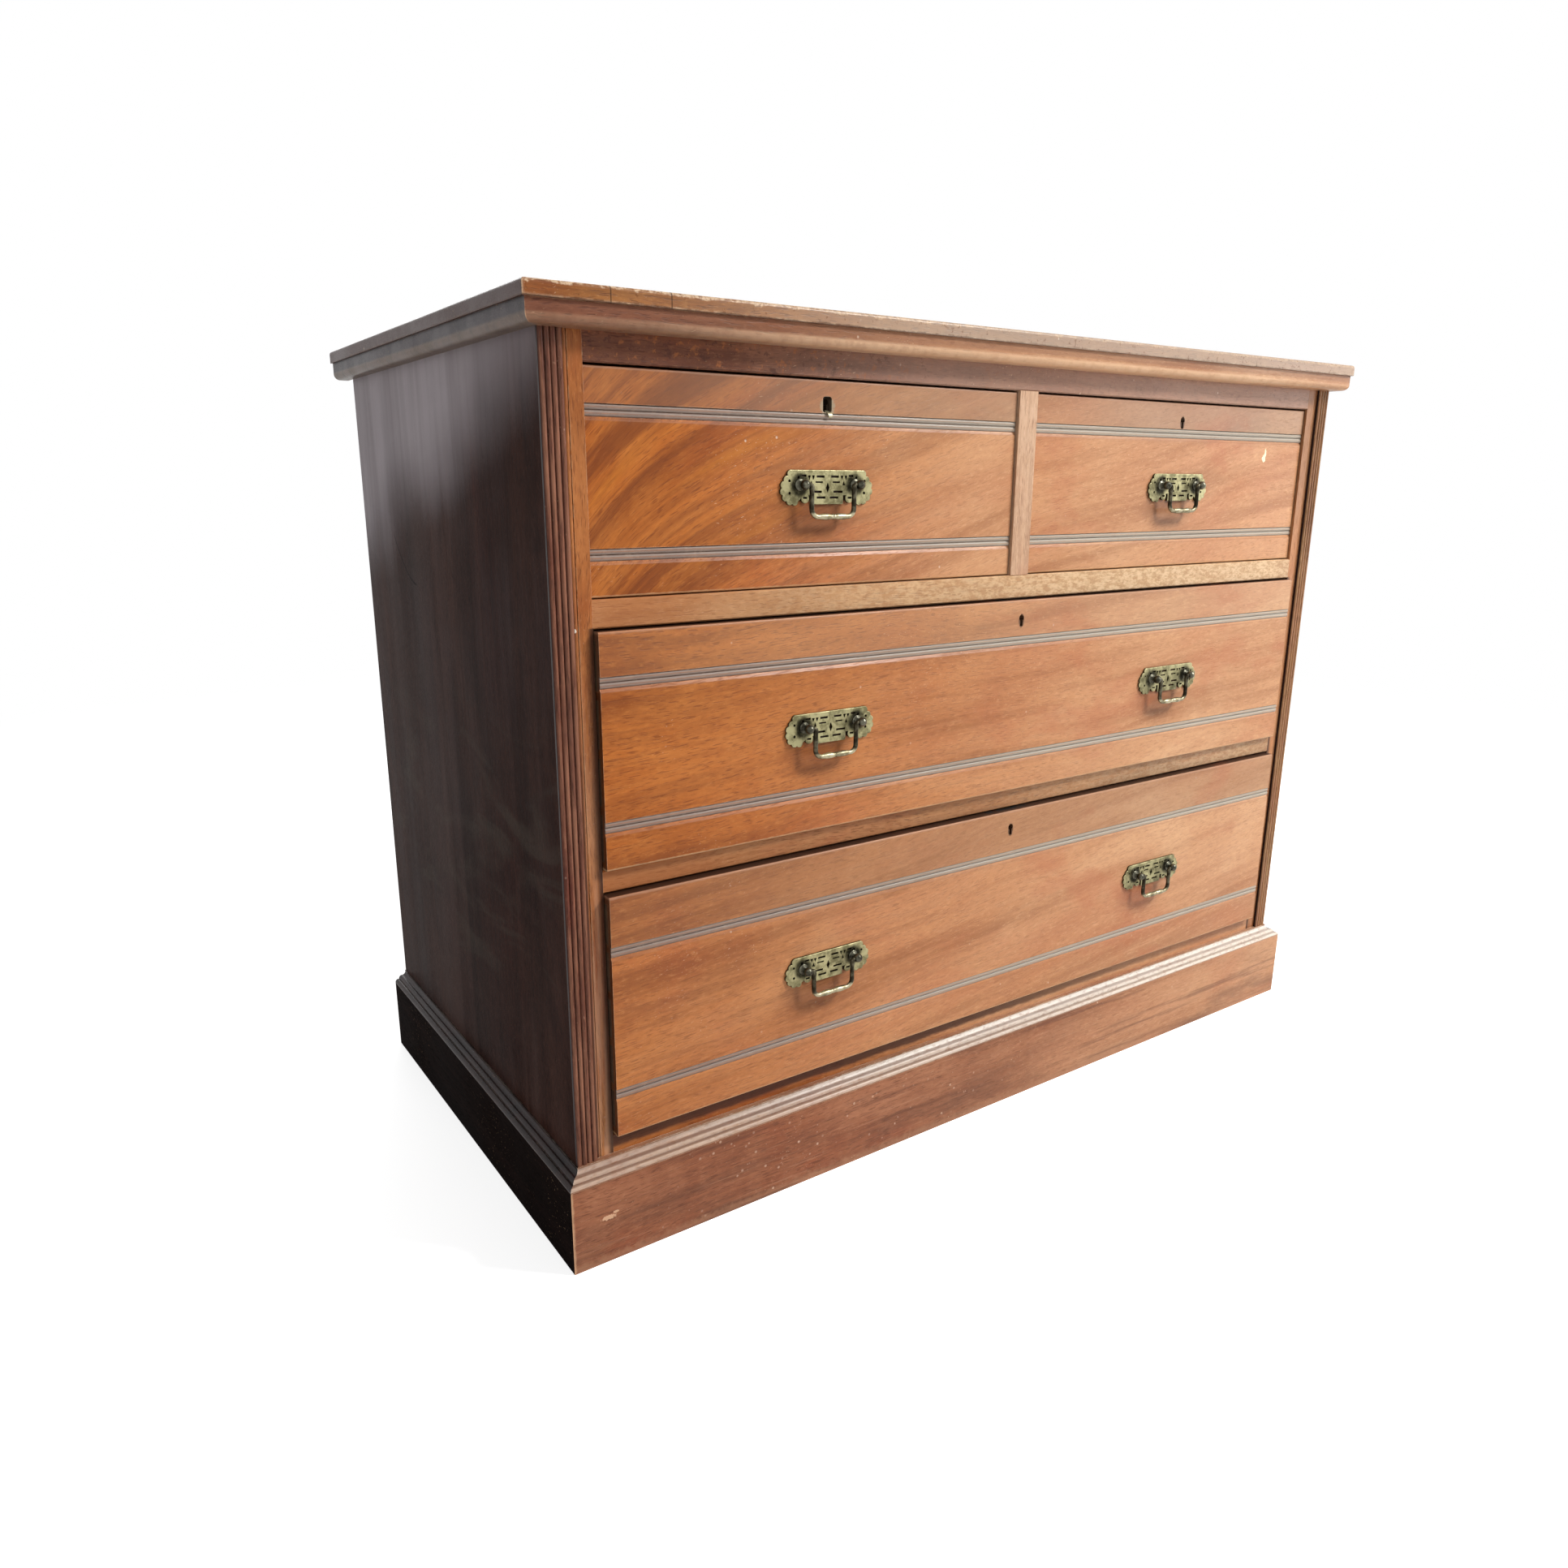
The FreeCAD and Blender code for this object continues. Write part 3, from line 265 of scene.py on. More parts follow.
def wood(name, grain, palette, seed, slant=0.0, figure=0.5, worn=None, wear=0.6, edge=0.0012,
         specks=0.5, rough=0.36, shine=0.16, coat=0.04, coat_rough=0.2, stain=None,
         stained=DARK_STAIN, wavy=0.0, paint=None, fade=0.0, fade_from=-0.5, fade_to=0.15,
         veins=0.0, bend=0.045, ior=1.5):
    """Polished wood: long streaks, a slow figure, pores, rubbed arrises, specks and scratches.

    palette is (main, dark, light). From one x to another it pales, as far as its fade value, with
    painted sheen and sun fading.
    paint(finish) adds what one piece alone shows, and stain(finish) says where the wood is
    stained as dark as the chest's sides. With veins, the grain climbs steeply from the left
    end and flattens to the right.
    """
    f = Finish(name)
    f.colour, dark, light = palette
    base = f.laid(f.place, 1, turn=TURNS[grain])
    shift = (seed * 3.17, seed * 1.73, seed * 2.41)
    leaning = f.laid(base, 1, turn=(0.0, slant, 0.0))
    if veins:
        climb = f.times(f.math("EXPONENT", f.times(f.minus(-0.48, f.x), 11.0)), 0.068)
        leaning = f.moved(leaning, z=climb)
    drift = f.sway(f.noise((2.2, 3.6, 3.6), shift=shift, place=leaning), bend)
    bent = f.moved(leaning, y=drift, z=drift)

    def grained(along, across, detail, rough, own=shift, twist=0.0):
        return f.noise((along, across, across), detail, rough, own, twist, bent)

    streak = grained(1.3, 34, 5.0, 0.62)
    fine = grained(7, 260, 3.0, 0.6)
    cloud = grained(3.2, 8.5, 3.0, 0.55, twist=0.6)
    pore = f.step(grained(80, 900, 1.0, 0.5), 0.565, 0.68)
    mottle = grained(110, 330, 4.0, 0.75)
    ripple = grained(34, 5, 2.0, 0.5)
    broad = f.noise((4.5, 9, 9), 4.0, 0.6, (shift[2], shift[0], shift[1]), 0.4, leaning)

    f.layers((streak, 0.46, 0.7, 0.75, dark), (streak, 0.46, 0.28, 0.7, light),
             (cloud, 0.48, 0.74, figure, dark), (cloud, 0.45, 0.26, figure * 0.55, light),
             (fine, 0.4, 0.68, 0.36, dark))
    f.lay(RUDDY, f.step(broad, 0.5, 0.68), 0.34, blend="SOFT_LIGHT")
    f.layers((broad, 0.5, 0.32, 0.38, light), (mottle, 0.5, 0.7, 0.34, dark),
             (mottle, 0.48, 0.32, 0.36, light), (ripple, 0.35, 0.7, 0.14, light))
    f.lay(dark, pore, 0.6)
    if veins:
        other = (shift[1], shift[2], shift[0])
        vein = grained(2.4, 30, 3.0, 0.55, other, 0.25)
        thin = grained(1.8, 95, 2.0, 0.5, other, 0.2)
        left = f.step(f.x, -0.38, -0.05, 1.0, 0.32)
        f.lay(GOLDEN, f.fall(vein, 0.3, 0.5), left, veins, 0.85)
        f.lay(dark, f.step(vein, 0.5, 0.66), left, veins)
        f.lay(dark, f.step(thin, 0.58, 0.7), left, veins, 0.7)
    # Painted sheen, partly sun fading: the colour pales towards the right.
    if fade:
        own, f.colour = f.colour, FADED_SHEEN
        f.layers((streak, 0.42, 0.68, 0.75, FADED_SHEEN_DARK), (cloud, 0.46, 0.72, 0.6, FADED_SHEEN_RED),
                 (cloud, 0.45, 0.26, 0.4, FADED_SHEEN_LIGHT), (mottle, 0.5, 0.7, 0.32, FADED_SHEEN_DARK),
                 (mottle, 0.48, 0.3, 0.32, FADED_SHEEN_LIGHT))
        f.lay(FADED_SHEEN_DARK, pore, 0.3)
        f.colour = f.mix(f.step(f.x, fade_from, fade_to, 0.0, fade), own, f.colour)
    if stain:
        side = stain(f)
        f.lay(f.mix(f.step(streak, 0.4, 0.66), *stained), side)
        wear = f.step(side, 0.0, 1.0, wear, wear * 0.25)

    patch = f.noise(9, 3.0, 0.6, shift)
    grit = f.noise(170, 3.0, 0.65, shift)
    rubbed = f.plus(f.times(patch, 0.55), f.times(grit, 0.75))
    arris = f.times(f.step(f.edges(edge), 0.02, 0.22), f.step(rubbed, 0.5, 0.8), wear, 1.6)
    arris = f.least(arris, 0.9)
    f.lay(worn or rgb(208, 168, 130), arris)
    speck = f.times(f.dots(62, shift, 0, (0.03, 0.1), (0.78, 0.92)),
                    f.step(patch, 0.36, 0.62), specks)
    f.lay(rgb(226, 200, 176), f.least(speck, 1.0))
    crossing = f.laid(base, 1, turn=(0.3, 0.16, 0.4))
    scratch = f.step(f.noise((16, 900, 900), 1.0, 0.5, shift, place=crossing), 0.7, 0.76)
    scratch = f.times(scratch, f.step(patch, 0.5, 0.62), specks, 0.8)
    f.lay(rgb(214, 176, 140), scratch)
    if paint:
        paint(f)

    matte = f.plus(f.sway(patch, 0.3), rough)
    matte = f.plus(matte, f.times(pore, 0.12))
    matte = f.plus(matte, f.times(arris, 0.2), clamp=True)
    height = f.times(streak, 0.35)
    for hollow, deep in ((pore, 0.5), (speck, 1.4), (scratch, 0.6)):
        height = f.minus(height, f.times(hollow, deep))
    height = f.plus(height, f.times(fine, 0.3))
    if wavy:
        height = f.plus(height, f.times(f.noise((2.2, 11, 11), shift=shift, place=base), wavy))
    return f.finish(matte, height, 0.00022, 0.8, specular_ior_level=shine, ior=ior,
                    coat_weight=coat, coat_roughness=coat_rough)


def sideways(f):
    return f.facing(0)


def mitred(node, deep=1.0):
    """The side parts of a piece mitred at its front corners, as deep as is said."""
    def side(f):
        low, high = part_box(node)
        inward = f.minus(high.x, f.size(f.x))
        beyond = f.minus(f.minus(f.y, low.y), inward)
        return f.times(f.rise(beyond, 0, -0.2, 0.4), f.drop(inward, deep, 0, 1))
    return side


def oval(f, x, z, size, lean):
    """The distance from x and z on a front, in an oval's own half sizes (in millimetres)."""
    near = f.laid(f.place, (1, 0, 1), (-x, 0, -z))
    return f.length(f.laid(near, (1 / (size[0] * MM), 0, 1 / (size[1] * MM)),
                           turn=(0.0, lean, 0.0)))


def spot(f, x, z, size, lean=0.0, ragged=0.35):
    """A small uneven mark on a front, about x and z: one in its middle and zero outside."""
    rim = f.sway(f.noise(420), ragged * 4)
    return f.fall(f.plus(oval(f, x, z, size, lean), rim), 0.8, 1.1)


def front_paint(low, high, bands, tags, top_strip_tone_and_shade, extra=None):
    """Greyer reeds and a pale rim under each band, rubbed edges, painted shade and shadow round
    the handles.

    The strip above the upper band gets a tone, given with how far; on the top drawers it is
    painted shade.
    """
    face = low.y
    middle_z = (low.z + high.z) / 2

    def paint(f):
        x, y, z = f.x, f.y, f.z
        ragged = f.noise(160, 3.0, 0.6)
        # The front's ends darkened: end grain, and painted shade where the front stands out.
        f.lay(rgb(48, 27, 19), sideways(f), 0.75)
        # The strip above the upper band takes its tone; on the two top drawers this is painted
        # shade under the top's overhang.
        strip = f.rise(f.plus(z, f.sway(ragged, 6 * MM)), bands[1], -12, 8)
        strip = f.times(strip, f.step(x, low.x, low.x + 0.2, 0.45, 1.0), top_strip_tone_and_shade[1])
        f.lay(top_strip_tone_and_shade[0], strip)
        crumbs = f.times(ragged, 1.6 * MM)
        # A pale line along the top arris: partly rubbed wear, partly painted highlight.
        top = f.rise(f.plus(z, crumbs), high.z, -2.0, -0.6)
        f.lay(rgb(184, 142, 116), top, 0.4)
        foot = f.drop(f.minus(z, crumbs), low.z, 0.2, 1.4)
        f.lay(rgb(212, 172, 128), foot, 0.6)
        # Painted shade on the front's upward faces behind its face, under the rail above.
        inward = f.rise(y, face, 0.6, 1.8)
        f.lay(PAINTED_SHADE, f.facing(2), inward, 0.92)
        behind = f.band(z, middle_z, -14, 10, 1.5)
        for handle in map(handle_x, tags):
            # Painted shadow of each handle, soft, down and to the left of it.
            handle_shadow = oval(f, (handle - 13) * MM, middle_z - 27 * MM, (56, 34), -0.35)
            handle_shadow = f.plus(handle_shadow, f.sway(ragged, 0.3))
            f.lay(rgb(92, 48, 28), f.step(handle_shadow, 0.2, 1.0, 0.5, 0.0))
            # Painted shade on the wood behind each plate, dark through its openings.
            plate = f.band(x, handle * MM, *PLATE_SHADE, 1.5)
            f.lay(rgb(24, 17, 12), behind, plate, 0.94)
        blotch = f.noise((7, 7, 15), 4.0, 0.6, (4, 4, 1))
        f.lay(rgb(176, 96, 62), f.step(blotch, 0.52, 0.68), f.step(x, -0.3, 0.1),
              f.minus(1.0, strip), 0.36)
        sunk = f.band(y, face, 0.28, 2.6, 0.16)
        # Deeper in the reeds the grey is darker: painted shade.
        valley = f.rise(y, face, 0.9, 1.6)
        grey = f.mix(valley, rgb(142, 126, 116), rgb(84, 66, 58))
        pale = f.mix(valley, rgb(172, 164, 150), rgb(124, 112, 102))
        # Paler to the right: painted sheen.
        grey = f.mix(f.step(x, -0.46, 0.12), grey, pale)
        grey = f.mix(f.times(f.step(ragged, 0.52, 0.7), 0.35), grey, rgb(168, 148, 132))
        for middle in bands:
            reeds = f.band(z, middle, *BAND_REEDS, 0.25)
            f.lay(grey, reeds, sunk, 0.95)
            lip = f.band(z, middle, *BAND_LIP)
            f.lay(rgb(146, 92, 56), lip, 0.35)
        f.lay(rgb(42, 24, 16), spot(f, (low.x + high.x) / 2, high.z - (KEY_DROP + 3) * MM,
                                    (4.0, 7.2), ragged=0.12), 0.72)
        if extra:
            extra(f)
    return paint


def key_wear(x, face, z):
    """Round the worn keyhole: a dark floor, and a rim stained pale by the lost brass liner."""
    def paint(f):
        f.lay(rgb(166, 152, 128), spot(f, x, z - 4 * MM, (8.2, 8.0), ragged=0.16), 0.8)
        inside = f.rise(f.y, face, 0.5, 1.6)
        f.lay(rgb(52, 42, 32), f.band(f.x, x, -5, 5), inside, f.band(f.z, z, -9.2, 4.6))
    return paint


def chipped(f):
    """The pale chip in the face of the top right drawer."""
    chip = f.most(spot(f, *CHIP[0], (3.4, 4.2), 0.3),
                  spot(f, *CHIP[1], (1.6, 5.2), 0.25))
    f.lay(rgb(250, 236, 196), chip)


def top_edge(f):
    """Arrises worn ragged and pale, short chips, dark cuts across the edge; painted sheen to the
    right, painted shade below.
    """
    x = f.x
    low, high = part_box("top_board")
    ragged = f.noise(75, 4.0, 0.65)
    crumb = f.noise(260, 2.0, 0.6)
    f.lay(rgb(104, 56, 28), f.step(x, -0.53, -0.42, 0.3, 0.0))
    # Paler and greyer to the right: painted sheen.
    f.lay(rgb(176, 164, 150), f.step(x, -0.5, -0.1, 0.0, 0.6))
    front = f.drop(f.plus(f.y, f.sway(ragged, 0.016)), low.y, 2.5, 5.5)
    left = f.times(f.step(x, -0.45, 0.1, 1.0, 0.45),
                   f.rise(f.size(x), high.x, -4, -1, 1.0, 0.1), front)
    worn = f.rise(f.plus(f.z, f.sway(ragged, 0.01)), high.z, -3.4, -1.6)
    f.lay(WORN_TOP, worn, f.step(crumb, 0.34, 0.58), left, 0.9)
    # Painted shade along the board's lower edge, over the moulding.
    foot = f.drop(f.minus(f.z, f.sway(ragged, 0.004)), low.z, 0.4, 1.6)
    f.lay(rgb(72, 38, 20), foot, f.step(x, -0.45, 0.2, 0.8, 0.35))
    f.lay(rgb(104, 58, 24), f.step(crumb, 0.56, 0.68), f.step(ragged, 0.44, 0.6), front, 0.55)
    cuts = f.times(f.step(f.noise((150, 0, 12), 1.0), 0.7, 0.74), front, 0.8)
    for place in EDGE_CUTS:
        cuts = f.most(cuts, f.times(f.band(x, place, -0.5, 0.5), front, 0.8))
    f.lay(rgb(58, 36, 18), cuts)


def moulding_light_and_shade(f):
    """The top moulding: painted shade up under the top board's overhang, painted highlight lower
    down.
    """
    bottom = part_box("top_moulding")[0].z
    grit = f.noise(90, 3.0, 0.6, (2, 8, 3))
    level = f.plus(f.z, f.sway(grit, 2 * MM))
    # Darker up under the top board: painted shade.
    upper = f.rise(level, bottom, 8, 11)
    front = f.minus(1.0, mitred("top_moulding")(f))
    f.lay(rgb(116, 74, 54), upper, front, f.step(f.x, -0.4, 0.0, 0.1, 0.42))
    # Paler lower down: painted highlight.
    lower = f.drop(level, bottom, 5.5, 8.5)
    f.lay(rgb(232, 194, 156), lower, f.step(f.x, -0.5, -0.2, 0.16, 0.6),
          f.step(f.x, 0.25, 0.5, 1.0, 0.35), f.step(grit, 0.3, 0.6, 0.7, 1.0))


def plinth_marks(f):
    """Dark stains, scuffs and flecks, a pale gouge near the left end and a rubbed foot."""
    cloud = f.noise((7, 14, 34), 5.0, 0.65, (3, 1, 7))
    f.lay(rgb(84, 58, 46), f.step(cloud, 0.46, 0.7), f.step(f.z, 0.02, 0.075, 1.0, 0.35), 0.42)
    grit = f.noise(130, 4.0, 0.7, (5, 2, 3))
    foot = f.fall(f.minus(f.z, f.times(grit, 0.022)), -0.01, 0.001)
    f.lay(rgb(178, 132, 100), foot, 0.5)
    corner = f.fall(f.minus(f.x, f.times(grit, 0.004)), -0.533, -0.5305)
    f.lay(rgb(206, 160, 124), corner, 0.8)
    gouge = f.most(spot(f, *GOUGE[0], (7, 2.6), -0.3),
                   spot(f, *GOUGE[1], (3, 1.4), -0.3))
    f.lay(rgb(226, 182, 146), gouge, 0.8)
    scuff = f.noise((9, 60, 300), 3.0, 0.6, (6, 3, 2))
    f.lay(rgb(196, 146, 112), f.step(scuff, 0.58, 0.7), f.step(cloud, 0.36, 0.6, 1.0, 0.3), 0.4)
    dark = f.noise((4, 40, 90), 4.0, 0.6, (1, 8, 4))
    f.lay(rgb(84, 48, 36), f.step(dark, 0.54, 0.7), 0.5)
    for seed, (scale, few) in enumerate(((90, 0.72), (150, 0.62))):
        fleck = f.dots(scale, (seed, 0, 0), 1, (0.06, 0.17), (few, few + 0.08))
        f.lay(rgb(226, 192, 164), fleck, f.step(cloud, 0.4, 0.58),
              f.window(f.x, -0.4, -0.02, 0.12), 0.85)


def rubbed_and_lit_reeds(f):
    """The plinth moulding: crests and hollow nearly white, more so to the right (painted
    highlight, partly rubbed); painted shade in the valleys.
    """
    grit = f.noise((120, 300, 300), 3.0, 0.65, (2, 6, 1))
    facing = f.minus(1.0, mitred("plinth_moulding")(f))
    front = f.times(facing, f.step(grit, 0.25, 0.55, 0.45, 1.0))
    # Near-white crests: painted highlight, partly rubbed wear.
    crest = f.times(f.step(f.z, 0.0832, 0.0848), f.drop(f.z, REED_TOP, 0, 1.5))
    f.lay(rgb(232, 222, 208), crest, front, f.step(f.x, -0.45, 0.35, 0.32, 0.9))
    # The upward hollow nearly white: painted reflection, partly rubbed.
    hollow = f.times(f.rise(f.z, REED_TOP, 0, 1.5), front,
                     f.step(f.x, -0.48, -0.05, 0.25, 0.85))
    f.lay(rgb(242, 236, 226), hollow, f.fall(f.z, 0.0952, 0.0962))
    # Darker valleys: painted shade.
    for valley in REED_VALLEYS:
        f.lay(rgb(112, 74, 54), f.band(f.z, valley, -0.45, 0.45), facing,
              f.step(f.x, -0.4, 0.4, 0.62, 0.4))


def reed_crest_light_and_shade(f):
    """The pilasters' reeds: crests paler here and there (rubbed, and painted highlight), and
    painted shade in the grooves.
    """
    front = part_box("pilaster_left")[0].y
    patchy = f.noise((140, 140, 11), 4.0, 0.6, (2, 5, 8))
    crest = f.drop(f.y, front, 0.15, 0.9)
    # Paler crests: partly rubbed wear, partly painted highlight.
    f.lay(rgb(160, 110, 84), crest, f.step(patchy, 0.4, 0.62), 0.6)
    # Darker deep in the grooves: painted shade.
    f.lay(rgb(44, 24, 18), f.rise(f.y, front, 1.2, 1.7), 0.7)


def stile_marks_and_shade(f):
    """The stiles: painted shade low down with pale streaks, beside the long drawers too, a dark
    line by the bead, one pale fleck.
    """
    streak = f.noise((120, 120, 5), 3.0, 0.6, (4, 4, 9))
    # Darker towards the bottom: painted shade, with pale streaks laid over it.
    low = f.times(f.fall(f.z, 0.16, 0.66), f.step(f.x, -0.3, 0.3, 1.0, 0.25))
    f.lay(rgb(96, 60, 44), low, 0.14)
    f.lay(rgb(200, 154, 122), f.step(streak, 0.42, 0.62), low, 0.6)
    f.lay(rgb(98, 70, 52), f.step(f.x, 0.0, 0.1), f.step(f.z, 0.58, 0.72, 0.0, 0.4))
    bead = f.times(f.fall(f.x, -0.4955, -0.4935), f.step(streak, 0.3, 0.6, 0.55, 0.85))
    f.lay(rgb(70, 34, 24), bead, f.fall(f.z, 0.36, 0.68))
    # Painted shade on the stiles beside the long drawers, where those stand out.
    corner = f.fall(f.size(f.x), 0.4815, 0.4875)
    f.lay(PAINTED_SHADE, corner, f.fall(f.z, 0.572, 0.574), 0.85)
    f.lay(rgb(244, 230, 212), spot(f, *STILE_FLECK, (1.4, 1.7)))


def crumbled(f):
    """Old polish crumbled away in small orange and dark spots, greyer to the right."""
    grit = f.noise(150, 3.0, 0.7, (3, 3, 8))
    amount = f.step(f.x, -0.36, -0.08, 0.55, 0.14)
    f.lay(rgb(196, 176, 166), f.step(f.x, -0.38, -0.1, 0.0, 0.24))
    f.lay(rgb(172, 104, 58), f.step(grit, 0.58, 0.68), amount)
    f.lay(rgb(62, 34, 26), f.fall(grit, 0.34, 0.42), amount)


def rail_sheen_and_shade(start, end, most):
    """A rail's face, redder at its left end, paler from one x to another (painted sheen, partly
    sun bleaching), painted shade at its right end.
    """
    def paint(f):
        grit = f.noise((130, 300, 300), 4.0, 0.7, (1, 4, 6))
        # Paler towards the right: painted sheen, partly sun bleaching.
        pale = f.mix(f.step(grit, 0.38, 0.62), rgb(226, 196, 156), rgb(190, 152, 112))
        f.lay(pale, f.step(f.x, start, end, 0.0, most))
        f.lay(rgb(172, 98, 50), f.step(f.x, -0.48, -0.26, 0.5, 0.0))
        # Darker at the right end: painted shade.
        f.lay(rgb(150, 96, 60), f.step(f.x, 0.44, 0.48, 0.0, 0.25))
    return paint


def shadow_under_drawer(f):
    """Painted shadow on the bottom rail, up under the lowest drawer."""
    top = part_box("bottom_rail")[1].z
    depth = f.plus(f.z, f.times(f.noise(30, 4.0, 0.6, (6, 1, 2)), 0.006))
    grime = f.rise(depth, top, -12, -8)
    f.lay(rgb(66, 36, 24), grime, f.step(f.x, -0.1, 0.4, 0.85, 0.3))


def side_bloom_and_sheen(f):
    """A dull grey bloom on the polish with painted sheen and reflection, greyer up high and to the
    back, streaked downwards, and one curved scratch.

    The photograph shows the left side alone, so the right one has less of it and no scratch.
    """
    y, z = f.y, f.z
    streak = f.noise((26, 26, 1.6), 4.0, 0.6, (8, 3, 5))
    cloud = f.noise(4, 3.0, 0.5, (1, 9, 2))
    # Grey streaks, stronger higher up: painted sheen, partly bloom on the polish.
    f.lay(rgb(92, 78, 78), f.step(streak, 0.36, 0.66), f.step(cloud, 0.34, 0.62),
          f.step(z, 0.25, 0.76, 0.12, 0.5))
    left_side = f.step(f.x, -0.5, -0.4, 1.0, 0.2)
    # Lighter towards the back of the left side: painted sheen.
    f.lay(rgb(112, 102, 100), f.step(y, -0.15, 0.25, 0.0, 0.3),
          f.step(streak, 0.3, 0.6, 0.5, 1.0), left_side)
    broad = f.noise((9, 9, 0.9), 3.0, 0.6, (2, 5, 1), 0.4)
    f.layers((broad, 0.52, 0.66, 0.55, rgb(30, 14, 11)),
             (broad, 0.46, 0.34, 0.3, rgb(96, 74, 68)))
    upper = f.plus(f.plus(z, f.sway(cloud, 0.1)), f.times(y, 0.3))
    # Pale grey high up, paler towards the back: painted reflection.
    pale = f.mix(f.step(y, -0.25, 0.02), rgb(156, 144, 146), rgb(194, 184, 188))
    f.lay(pale, f.step(upper, 0.64, 0.76), f.step(streak, 0.3, 0.6, 0.65, 0.9), left_side)
    # Faint grey smears low down: painted reflection.
    reflection_smear = f.noise((5, 5, 15), 4.0, 0.55, (7, 2, 4), 1.2)
    f.lay(rgb(92, 84, 74), f.step(reflection_smear, 0.52, 0.7), f.window(z, 0.2, 0.46, 0.08), 0.28)
    along = f.minus(y, SCRATCH[0])
    bend = f.plus(f.times(along, 0.75), f.times(along, along, 9.0))
    off = f.size(f.minus(f.minus(z, SCRATCH[1]), bend))
    f.lay(rgb(22, 13, 12), f.drop(off, 0, 0.5, 1.5), f.window(y, 0.085, 0.15, 3 * MM),
          f.fall(f.x, -0.5, -0.4), 0.75)


def pine(name, grain, seed, stained_to=None, joints=()):
    """Bare softwood, brown with age; in front of stained_to it took the front's stain.

    Boards that meet at the joints' x each have grain and a tone of their own.
    """
    f = Finish(name)
    place, board, gap = f.place, 0.0, 0.0
    for joint in joints:
        board = f.plus(board, f.math("GREATER_THAN", f.x, joint))
        gap = f.plus(gap, f.band(f.x, joint, -0.5, 0.5))
    if joints:
        place = f.moved(place, x=f.times(board, 0.13), z=f.times(board, 1.7))
    base = f.laid(place, 1, turn=TURNS[grain])
    shift = (seed * 2.3, seed * 1.1, seed * 1.9)
    drift = f.sway(f.noise((1.2, 3, 3), shift=shift, place=base), 0.09)
    bent = f.moved(base, y=drift, z=drift)
    rings = f.noise((0.7, 75, 75), 5.0, 0.6, shift, place=bent)
    fibre = f.noise((12, 420, 420), 2.0, 0.5, shift, place=bent)
    f.colour = f.mix(f.step(rings, 0.36, 0.7), rgb(182, 144, 98), rgb(146, 104, 64))
    f.lay(rgb(120, 82, 50), fibre, 0.35)
    f.lay(rgb(92, 66, 44), f.step(f.noise(5, 4.0, 0.6, shift), 0.45, 0.75), 0.55)
    if joints:
        along = f.add("CombineXYZ", {0: board}).outputs[0]
        tone = f.noise((3.7, 1, 1), shift=shift, place=along)
        f.lay(rgb(118, 82, 50), f.step(tone, 0.35, 0.65, 0.0, 0.6))
        f.lay(rgb(30, 20, 13), f.least(gap, 1.0))
    if stained_to is not None:
        f.lay(rgb(44, 26, 18), f.rise(f.y, stained_to, -0.5, 0.5, 0.85, 0.0))
    height = f.plus(f.times(rings, 0.6), f.times(fibre, 0.5))
    return f.finish(f.plus(0.62, f.times(fibre, 0.2)), height, 0.0003, 0.8)


def posts_tarnish_and_shade(middle_z):
    """Round the two posts on a backplate: tarnish where a cloth can't reach, and painted shade."""
    def tarnish(f):
        across = f.minus(f.size(f.x), HANDLE_X * MM)
        across = f.minus(f.size(across), POST_SPACING * MM)
        flat = f.add("CombineXYZ", {0: across, 2: f.minus(f.z, middle_z)}).outputs[0]
        return f.drop(f.length(flat), 0, 7.6, 12.4)
    return tarnish


def ungripped(middle_z):
    """All of a bail but its lower bar, which hands keep bright."""
    def tarnish(f):
        return f.rise(f.z, middle_z, -25.4, -23.0)
    return tarnish


def brass(name, bright, dull, dark, rough, tarnish=None):
    """Cast brass, tarnished darker where a cloth doesn't reach."""
    f = Finish(name)
    grime = f.noise(110, 4.0, 0.65)
    reach = f.add("AmbientOcclusion", {"Distance": 0.005}, samples=8).outputs["AO"]
    sheltered = dulled = f.fall(reach, 0.45, 0.95)
    f.colour = f.mix(f.step(grime, 0.38, 0.66), bright, dull)
    if tarnish:
        covered = tarnish(f)
        f.lay(dark, covered, f.step(grime, 0.25, 0.6, 0.65, 0.95))
        dulled = f.most(sheltered, f.times(covered, 0.5))
    f.lay(bright, f.step(f.edges(0.0008), 0.02, 0.3), 0.7)
    f.lay(dark, sheltered, 0.9)
    matte = f.plus(f.plus(f.times(grime, 0.25), rough), f.times(dulled, 0.25), clamp=True)
    height = f.plus(f.times(f.noise(900, 2.0, 0.6), 0.5), f.times(grime, 0.8))
    return f.finish(matte, height, 0.00014, 0.8, metallic=1.0)


def iron(name):
    f = Finish(name)
    rust = f.noise(70, 5.0, 0.65)
    f.colour = f.mix(f.step(rust, 0.48, 0.68), rgb(62, 58, 55), rgb(96, 58, 36))
    return f.finish(f.plus(f.times(rust, 0.4), 0.35), rust, 0.0002, 0.7, metallic=0.8)


FRONT = (rgb(182, 101, 39), rgb(116, 57, 24), rgb(202, 127, 62))
STILE = (rgb(170, 100, 50), rgb(112, 60, 30), rgb(198, 132, 80))
RAIL = (rgb(192, 136, 88), rgb(138, 90, 56), rgb(214, 168, 122))
LOW_RAIL = (rgb(160, 104, 62), rgb(108, 66, 38), rgb(184, 132, 88))
